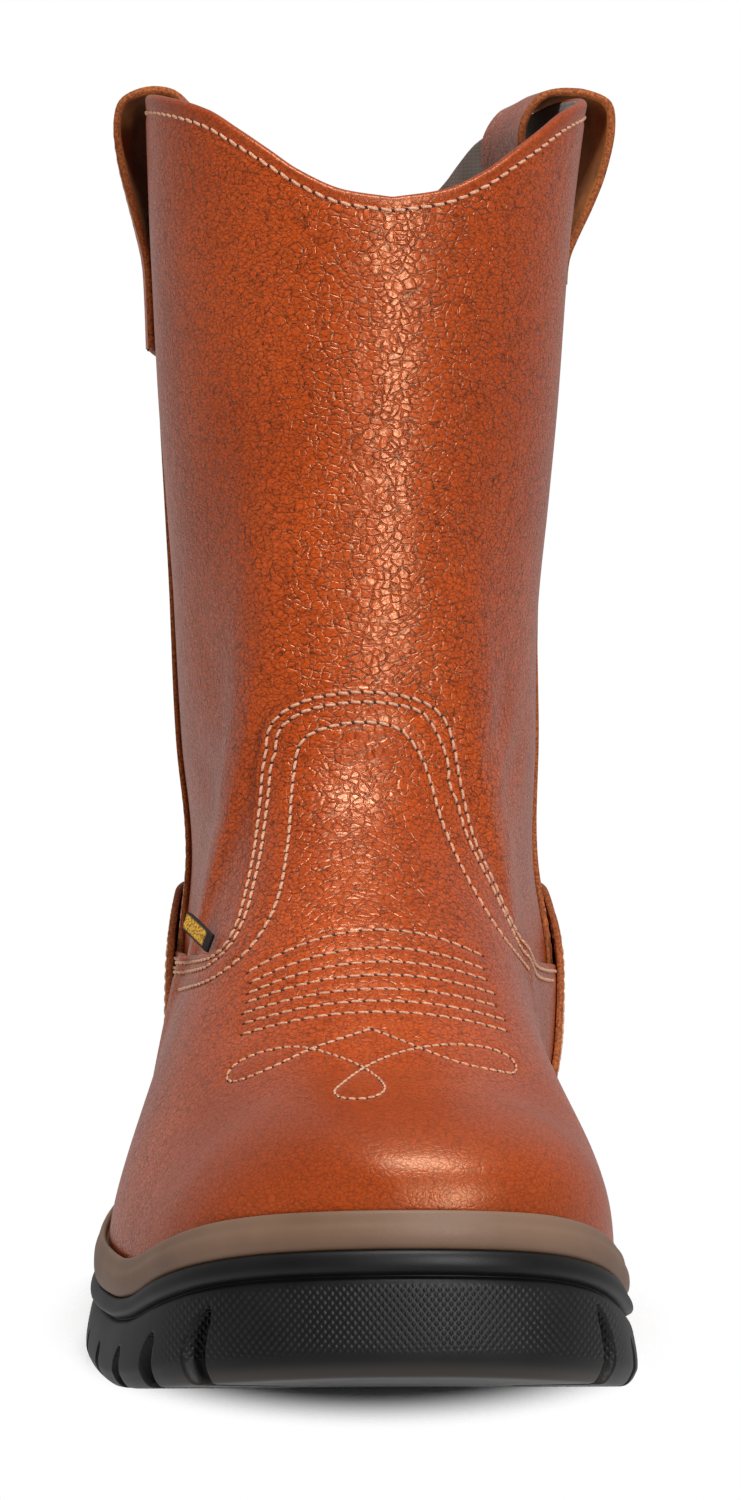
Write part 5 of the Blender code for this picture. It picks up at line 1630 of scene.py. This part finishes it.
def add_body(name, rings, finish, slot, stands_for, weld_below=None, **painted):
    """A closed body of rubber or felt from rings of points, with its openings filled."""
    bm = bmesh.new()
    verts = flat_rows(bm, closed(rings), **{key: closed(values) for key, values in painted.items()})
    close_columns(bm, verts, rings.shape[1] + 1)
    if weld_below is not None:
        bmesh.ops.remove_doubles(bm, verts=[v for v in bm.verts if v.co.z < weld_below], dist=WELD)
    bmesh.ops.holes_fill(bm, edges=[e for e in bm.edges if e.is_boundary], sides=0)
    bmesh.ops.triangulate(bm, faces=[f for f in bm.faces if len(f.verts) > 4])
    face_outwards(bm)
    add_piece(name, bm, [finish], [stands_for])


def lip_line(y):
    """Top of the midsole's rim, sinking to just under the feather line behind the side seams."""
    return feather_line(y) - SEAT_GAP + unit((LIP_END - y) / LIP_FADE) * (LIP_HEIGHT + SEAT_GAP)


MIDSOLE_LINES = {
    "midsole": midsole_line,
    "belly": between(midsole_line, feather_line, BELLY_SHARE),
    "feather": feather_line,
    "lip": lip_line,
}
print("lines of the midsole:", sorted(MIDSOLE_LINES))

# %% Midsole
# Rings from the foot up and over the rim: inset from the sole's plan, the line they follow and their lift
MIDSOLE_PROFILE = [
    {"inset": 3.2, "line": "midsole", "lift": -0.1},
    {"inset": 2.2, "line": "midsole", "lift": 0.1},
    {"inset": 1.7, "line": "midsole", "lift": 0.7},
    {"inset": 1.45, "line": "midsole", "lift": 1.8},
    {"inset": 1.4, "line": "belly", "lift": 0.0},
    {"inset": 1.6, "line": "feather", "lift": -2.0},
    {"inset": 2.1, "line": "feather", "lift": -0.9},
    {"inset": 2.6, "line": "lip", "lift": -0.75},
    {"inset": 3.0, "line": "lip", "lift": -0.2},
    {"inset": 3.45, "line": "lip", "lift": 0.0},
    {"inset": 3.9, "line": "lip", "lift": -0.35},
    {"inset": 4.1, "line": "feather", "lift": -0.6},
    {"inset": 9.0, "line": "feather", "lift": -0.6},
]
MIDSOLE_COLUMNS = 420
MIDSOLE_ROWS = 34

loop = walk_round(OUTER_LOOP, MIDSOLE_COLUMNS)
inwards = inward_of(loop)
rings = []
for row in MIDSOLE_PROFILE:
    height = raised(MIDSOLE_LINES[row["line"]], row["lift"])
    rings.append(ring_points(loop, inwards, row["inset"], height))
add_body("midsole_rubber", rounded(np.array(rings), MIDSOLE_ROWS), taupe_rubber, "taupe_rubber", "midsole")

# %% [markdown]
# ## Outsole
# The outsole is rings too: a flared wall with its lip, the hollow under the bead and the bead. The grooves
# between the side lugs are pressed into the wall by a formula, crescent-shaped and deeper towards the
# tread. Cutting them with Booleans would leave ragged triangles on so round a wall. The columns of the
# grid stand close together near a groove and further apart elsewhere.

# %% Grooves of the outsole
# Place along the sole, half width, share of the wall that it climbs, and bow towards the toe
GROOVES_LATERAL = [
    {"along": -133.0, "half": 3.1, "climb": 0.78, "bow": 5.0},
    {"along": -117.0, "half": 2.5, "climb": 0.64, "bow": 3.4},
    {"along": -99.0, "half": 2.2, "climb": 0.60, "bow": 2.6},
    {"along": -80.0, "half": 1.6, "climb": 0.60, "bow": 2.2},
    {"along": -61.0, "half": 1.6, "climb": 0.60, "bow": 2.0},
    {"along": -42.0, "half": 1.6, "climb": 0.60, "bow": 2.0},
]
GROOVES_MEDIAL = [
    {"along": -128.0, "half": 2.7, "climb": 0.82, "bow": 5.0},
    {"along": -107.0, "half": 2.3, "climb": 0.66, "bow": 3.0},
    {"along": -87.0, "half": 1.6, "climb": 0.62, "bow": 2.4},
    {"along": -67.0, "half": 1.6, "climb": 0.60, "bow": 2.0},
    {"along": -47.0, "half": 1.6, "climb": 0.60, "bow": 2.0},
]
GROOVES_HEEL = [{"along": along, "half": 1.8, "climb": 0.50, "bow": 2.0} for along in (72.0, 94.0, 116.0)]
GROOVE_LOW = 0.30
GROOVE_BEND = 1.6
GROOVE_WAIST = 0.75
GROOVE_SWELL = 1.2
GROOVE_CLOSING = 0.6
GROOVE_NARROWEST = 1e-3
GROOVE_EDGE = {"end": 1.35, "run": 0.7}
GROOVE_FULL_DEPTH = 0.9
OUTLINE_STEPS = 3000
OUTSOLE_COLUMNS = 760
BASE_DENSITY = 0.35
GROOVE_DENSITY = 2.6
CLOSE_SHIFT = 1.5
CLOSE_REACH = 6.0

outline = walk_round(OUTER_LOOP, OUTLINE_STEPS)
perimeter = np.linalg.norm(np.roll(outline, -1, axis=0) - outline, axis=1).sum()
outline = np.roll(outline, -int(np.argmin(outline[:, 1])), axis=0)
heel_index = int(np.argmax(outline[:, 1]))
walk = np.arange(OUTLINE_STEPS) * (perimeter / OUTLINE_STEPS)

SIDES = [
    {"grooves": GROOVES_LATERAL + GROOVES_HEEL, "stretch": slice(0, heel_index), "toeward": -1.0},
    {"grooves": GROOVES_MEDIAL + GROOVES_HEEL, "stretch": slice(heel_index, None), "toeward": 1.0},
]
grooves = []
for side in SIDES:
    along_side, walk_side = outline[side["stretch"], 1], walk[side["stretch"]]
    for groove in side["grooves"]:
        at = walk_side[np.argmin(np.abs(along_side - groove["along"]))]
        grooves.append({**groove, "at": at, "toeward": side["toeward"]})

nearness = np.zeros(OUTLINE_STEPS)
for groove in grooves:
    from_groove = walk - groove["at"] - CLOSE_SHIFT * groove["toeward"]
    nearness = np.maximum(nearness, np.exp(-((from_groove / CLOSE_REACH) ** 4)))
density = np.cumsum(BASE_DENSITY + GROOVE_DENSITY * nearness)
density = (density - density[0]) / (density[-1] - density[0])
picked = np.interp(np.linspace(0.0, 1.0, OUTSOLE_COLUMNS), density, np.arange(OUTLINE_STEPS))
picked = np.unique(picked.round().astype(int))[:-1]
loop = outline[picked]
walked = walk[picked]
inwards = inward_of(outline)[picked]


def groove_cut(walked, share):
    """How deep the wall is cut at a distance round the outline and a share of the wall's height."""
    deep = np.zeros(np.broadcast(walked, share).shape)
    for groove in grooves:
        rise = unit(share / groove["climb"])
        centre = groove["at"] + groove["toeward"] * groove["bow"] * (GROOVE_BEND * (rise - GROOVE_LOW) ** 2)
        wide = groove["half"] * (GROOVE_WAIST + GROOVE_SWELL * rise) * (1.0 - rise) ** GROOVE_CLOSING
        wide = wide + GROOVE_NARROWEST
        away = np.abs((walked - centre + 0.5 * perimeter) % perimeter - 0.5 * perimeter) / wide
        cut = unit((GROOVE_EDGE["end"] - away) / GROOVE_EDGE["run"])
        cut = cut * cut * (3.0 - 2.0 * cut) * np.where(share < groove["climb"], 1.0, 0.0)
        deep = np.maximum(deep, cut * unit(wide / GROOVE_FULL_DEPTH))
    return deep


print("grooves between lugs:", len(grooves), "columns:", len(loop))

# %% Wall and bead of the outsole
# Rings of the wall: share of the way from tread to bead, inset from the sole's plan and lift
WALL_PROFILE = [
    {"share": 0.0, "inset": 2.9, "lift": 0.0},
    {"share": 0.0, "inset": 1.9, "lift": 0.25},
    {"share": 0.06, "inset": 0.9, "lift": 0.3},
    {"share": 0.14, "inset": 0.2, "lift": 0.4},
    {"share": 0.24, "inset": -0.2, "lift": 0.0},
    {"share": 0.36, "inset": -0.25, "lift": 0.0},
    {"share": 0.52, "inset": 0.0, "lift": 0.0},
    {"share": 0.68, "inset": 0.4, "lift": 0.0},
    {"share": 0.84, "inset": 0.9, "lift": 0.0},
    {"share": 1.0, "inset": 1.5, "lift": -1.0},
    {"share": 1.0, "inset": 2.2, "lift": -0.35},
    {"share": 1.0, "inset": 2.7, "lift": 0.0},
    {"share": 1.0, "inset": 2.1, "lift": 0.3},
    {"share": 1.0, "inset": 1.2, "lift": 0.8},
]
# Rings of the bead: share of the way from its foot to the midsole's foot, and inset
BEAD_PROFILE = [
    {"share": 0.3, "inset": 0.75},
    {"share": 0.5, "inset": 0.7},
    {"share": 0.7, "inset": 0.95},
    {"share": 0.88, "inset": 1.5},
    {"share": 0.97, "inset": 2.3},
    {"share": 0.97, "inset": 4.0},
]
WALL_ROWS = 74
GROOVE_DEPTH = 4.2

rings = []
for row in WALL_PROFILE:
    height = raised(between(tread_line, bead_line, row["share"]), row["lift"])
    rings.append(ring_points(loop, inwards, row["inset"], height))
for row in BEAD_PROFILE:
    rings.append(ring_points(loop, inwards, row["inset"], between(bead_line, midsole_line, row["share"])))
wall = rounded(np.array(rings), WALL_ROWS)
tread = tread_line(wall[..., 1])
share = (wall[..., 2] - tread) / (bead_line(wall[..., 1]) - tread)
cut = groove_cut(np.broadcast_to(walked, share.shape), share)
wall[..., :2] += (GROOVE_DEPTH * cut)[..., None] * inwards[None]
print("deepest groove %.1f mm" % (GROOVE_DEPTH * cut.max()))

# %% [markdown]
# ## Tread
# The underside runs in rows from the tread's edge to a spine along the middle of the sole. Both halves
# meet in the same points of the spine, so the tread closes without a crack. The grooves of the wall run
# on into it for a while, and short bars are pressed across its middle.

# %% Tread and the whole outsole
TREAD_DEPTH = 3.6
TREAD_BARS = [-112.0, -94.0, -76.0, -58.0, -40.0, 84.0, 106.0]
BAR_HALF_WIDTH = 2.2
BAR_HALF_LENGTH = 17.0
BAR_CLEAR = 6.0
BAR_EDGE = {"beyond": 0.5, "run": 0.8}
GROOVE_REACH = 20.0
GROOVE_FADE = 1.5
UNDER_ROWS = 34
SPINE_SHORT = 34.0
SPINE_PITCH = 4.0
WELD_BELOW = 20.0
BUMPER_REACH = {"end": 62.0, "run": 16.0}
BUMPER_FOOT = {"start": 0.22, "run": 0.08}
BUMPER_TOP = {"end": 0.93, "run": 0.06}
SCUFF_REACH = {"end": 70.0, "run": 30.0}
SCUFF_TOP = {"end": 0.17, "run": 0.10}
SCUFF = 0.8


def faded(place, fade):
    """1 until a run before the end of a fade, 0 after its end."""
    return unit((fade["end"] - place) / fade["run"])


def bar_edge(half, away):
    """1 on a bar pressed into the tread, 0 beyond its edge."""
    return unit((half + BAR_EDGE["beyond"] - np.abs(away)) / BAR_EDGE["run"])


sole_edges, _, _ = side_walls(OUTER_LOOP)


def middle_and_half(y):
    """Middle and half width of the sole at a place along it."""
    lateral, medial = sole_edges(y)
    return 0.5 * (lateral + medial), 0.5 * (medial - lateral)


spine_y = np.clip(loop[:, 1], TOE_END + SPINE_SHORT, HEEL_END - SPINE_SHORT)
spine_y = np.round(spine_y / SPINE_PITCH) * SPINE_PITCH
spine = np.stack([middle_and_half(spine_y)[0], spine_y], axis=1)
reach = np.linspace(0.0, 1.0, UNDER_ROWS)[::-1][:, None, None]
flat = wall[0, :, :2] + reach * (spine - wall[0, :, :2])
inside = np.linalg.norm(flat - loop[None], axis=-1)
pressed = groove_cut(np.broadcast_to(walked, inside.shape), np.zeros(inside.shape))
pressed = pressed * unit((GROOVE_REACH - inside) / GROOVE_FADE)
for bar in TREAD_BARS:
    middle, half = middle_and_half(bar)
    half = min(BAR_HALF_LENGTH, half - GROOVE_REACH - BAR_CLEAR)
    bar_cut = bar_edge(half, flat[..., 0] - middle) * bar_edge(BAR_HALF_WIDTH, flat[..., 1] - bar)
    pressed = np.maximum(pressed, bar_cut)
under = np.dstack([flat, tread_line(flat[..., 1]) + TREAD_DEPTH * pressed])[:-1]

from_toe = np.minimum(walked, perimeter - walked)
bumper = grown(share, BUMPER_FOOT) * faded(share, BUMPER_TOP) * faded(from_toe, BUMPER_REACH)
scuffed = faded(share, SCUFF_TOP) * faded(from_toe, SCUFF_REACH) * SCUFF
plain = np.zeros(under.shape[:2])
add_body(
    "outsole_rubber",
    np.concatenate([under, wall]),
    black_rubber,
    "black_rubber",
    "outsole",
    weld_below=WELD_BELOW,
    bumper=np.concatenate([plain, bumper]),
    # The groove attribute says where the painted shade of the grooves and the tread bars goes
    groove=np.concatenate([pressed[:-1], cut]),
    scuffed=np.concatenate([plain, scuffed]),
)

# %% [markdown]
# ## Footbed
# A felted insole lies on the midsole, with a rounded rim that stands a little above its middle. It shows
# only from above, so a few rings are enough.

# %% Footbed
FOOTBED_INSET = 12.0
# Rings from the midsole up: inset from the footbed's own outline and lift
FOOTBED_PROFILE = [
    {"inset": 0.0, "lift": 0.0},
    {"inset": -0.3, "lift": 1.6},
    {"inset": 0.0, "lift": 3.4},
    {"inset": 0.9, "lift": 4.0},
    {"inset": 4.0, "lift": 3.5},
]
FOOTBED_COLUMNS = 200

loop = walk_round(OUTER_LOOP, FOOTBED_COLUMNS)
inwards = inward_of(loop)
rings = []
for row in FOOTBED_PROFILE:
    height = raised(feather_line, row["lift"])
    rings.append(ring_points(loop, inwards, FOOTBED_INSET + row["inset"], height))
add_body("footbed_felt", np.array(rings), footbed_cloth, "footbed_cloth", "insole")

# %% [markdown]
# ## Side tag
# A short woven ribbon is folded and caught in the vamp's edge on the lateral side: plain, dark, with a
# golden band across its middle. It is a small turned sheet on the leather that lifts towards its free end,
# and the band is painted as an attribute, so it follows the ribbon.

# %% Side tag
TAG_MIDDLE = {"angle": -37.4, "level": 0.377}
TAG_LENGTH = 9.5
TAG_WIDTH = 6.1
TAG_TURN = math.radians(30.5)
TAG_DEGREE = 1.3
TAG_LEVEL = 240.0
TAG_GAP = 0.5
TAG_LIFT = 4.2
TAG_COLUMNS = 26
TAG_ROWS = 18
BAND_ACROSS = {"end": 0.40, "run": 0.04}
BAND_ALONG = {"start": 0.14, "run": 0.04}


def tag_sheet(columns, rows):
    """Angles, levels, shares along and across a turned tab, from its caught end to its free end."""
    along, across = np.meshgrid(np.linspace(0.0, 1.0, columns), np.linspace(-0.5, 0.5, rows))
    back = TAG_LENGTH * (along - 0.5) * math.cos(TAG_TURN) - TAG_WIDTH * across * math.sin(TAG_TURN)
    up = TAG_LENGTH * (along - 0.5) * math.sin(TAG_TURN) + TAG_WIDTH * across * math.cos(TAG_TURN)
    return TAG_MIDDLE["angle"] - back / TAG_DEGREE, TAG_MIDDLE["level"] + up / TAG_LEVEL, along, across


def tag_finish(name):
    """A ribbed ribbon, dark with a golden band."""
    ribbon = Finish(name)
    rib = ribbon.noise(ribbon.place(), size=0.5)
    gold = ribbon.mix(rib.step(0.35, 0.6), linear(120, 80, 20), linear(226, 172, 60))
    colour = ribbon.mix(ribbon.attribute("band"), linear(30, 25, 22), gold)
    return ribbon.look(colour, 0.7 + 0.2 * rib, rib, bump=0.6, depth=0.2)


angle, level, along, across = tag_sheet(TAG_COLUMNS, TAG_ROWS)
points, outs = panel_points(angle, level, TAG_GAP + TAG_THICKNESS + TAG_LIFT * along)
band = faded(np.abs(across), BAND_ACROSS) * grown(along, BAND_ALONG)
bm = bmesh.new()
outward_faces(bm, flat_rows(bm, points, band=band), outs)
tag_cloth = tag_finish("woven_tag_cloth")
tag = add_piece("side_tag_ribbon", bm, [tag_cloth, tag_cloth], ["side_tag"])
thicken(tag, TAG_THICKNESS)

# %% [markdown]
# ## Stage and light
# The boot stands on a white floor in a white studio, and the camera always sees plain white behind it. The
# floor is clear a little way out from the boot, so it has no edge and keeps only the shadow by the sole.
# The room is brighter behind the boot than in front, so the leather turns pale towards its outline and
# keeps its colour in the middle. A narrow upright strip draws the long highlight down the shaft, a small
# lamp overhead the spot on the toe, and two wide fills lift the sides. Glossy rays don't see the fills,
# because each would draw one more bright band on the leather.

# %% Floor and room
FLOOR_HALF = 1.2
FLOOR_DROP = 0.0003
FLOOR_MIDDLE = 0.01
FLOOR_REACH = {"across": 0.080, "along": 0.170}
FLOOR_FADE = (0.62, 0.90)
WHITE = (1.0, 1.0, 1.0, 1.0)
ROOM_FRONT = 0.06
ROOM_BEHIND = 0.42
ROOM_BELOW = 0.45

floor_bm = bmesh.new()
bmesh.ops.create_grid(floor_bm, x_segments=1, y_segments=1, size=FLOOR_HALF)
bmesh.ops.translate(floor_bm, vec=(0.0, 0.0, -FLOOR_DROP), verts=floor_bm.verts)
floor_mesh = bpy.data.meshes.new("floor")
floor_bm.to_mesh(floor_mesh)
floor_bm.free()
floor_finish = Finish("white_floor", Roughness=0.9, Specular_IOR_Level=0.0, Base_Color=WHITE)
oval = {
    "Vector": floor_finish.node("TexCoord", {}, {}, "Object"),
    "Location": (0.0, -FLOOR_MIDDLE / FLOOR_REACH["along"], 0.0),
    "Scale": (1.0 / FLOOR_REACH["across"], 1.0 / FLOOR_REACH["along"], 1.0),
}
spread = floor_finish.node("Mapping", {}, oval)
from_boot = floor_finish.node("VectorMath", {"operation": "LENGTH"}, {0: spread}, "Value")
floor_finish.feed(floor_finish.shader.inputs["Alpha"], 1.0 - from_boot.step(*FLOOR_FADE))
floor_mesh.materials.append(floor_finish.material)
floor = bpy.data.objects.new("floor", floor_mesh)
bpy.context.scene.collection.objects.link(floor)


class Studio(Finish):
    """The room round the boot: a background instead of a surface."""

    def __init__(self, world):
        self.tree = world.node_tree
        self.shader = self.tree.nodes["Background"]


world = bpy.data.worlds.new("studio")
world.use_nodes = True
bpy.context.scene.world = world
bpy.context.scene.view_settings.view_transform = "Standard"
room = Studio(world)
direction = room.node("TexCoord", {}, {}, "Generated")
towards_back = room.node("SeparateXYZ", {}, {"Vector": direction}, "Y").step(-0.6, 0.9)
towards_floor = (0.0 - room.node("SeparateXYZ", {}, {"Vector": direction}, "Z")).step(0.05, 0.6)
seen = room.node("LightPath", {}, {}, "Is Camera Ray")
glow = ROOM_FRONT + (ROOM_BEHIND - ROOM_FRONT) * towards_back + ROOM_BELOW * towards_floor
room.feed(room.shader.inputs["Strength"], glow * (1.0 - seen) + 1.0 * seen)
room.shader.inputs["Color"].default_value = WHITE
print("floor and room ready")

# %% Lamps
LAMPS = {
    "strip": {"place": (0.60, -1.78, 0.45), "aim": (0.0, 0.0, 0.20), "size": (0.16, 1.2), "power": 22.0},
    "overhead": {"place": (0.14, -0.55, 1.6), "aim": (0.0, -0.08, 0.0), "size": (0.45, 0.45), "power": 18.0},
    "fill_left": {"place": (-2.0, -0.9, 0.45), "aim": (0.0, 0.0, 0.12), "size": (1.6, 1.6), "power": 17.0},
    "fill_right": {"place": (2.0, -0.7, 0.7), "aim": (0.0, 0.0, 0.15), "size": (1.6, 1.6), "power": 8.0},
}
FILLS = ("fill_left", "fill_right")

for name, row in LAMPS.items():
    data = bpy.data.lights.new(name, "AREA")
    data.shape = "RECTANGLE"
    data.size, data.size_y = row["size"]
    data.energy = row["power"]
    lamp = bpy.data.objects.new(name, data)
    lamp.visible_glossy = name not in FILLS
    lamp.location = row["place"]
    towards = Vector(row["aim"]) - Vector(row["place"])
    lamp.rotation_euler = towards.to_track_quat("-Z", "Y").to_euler()
    bpy.context.scene.collection.objects.link(lamp)
print("lamps:", sorted(LAMPS))
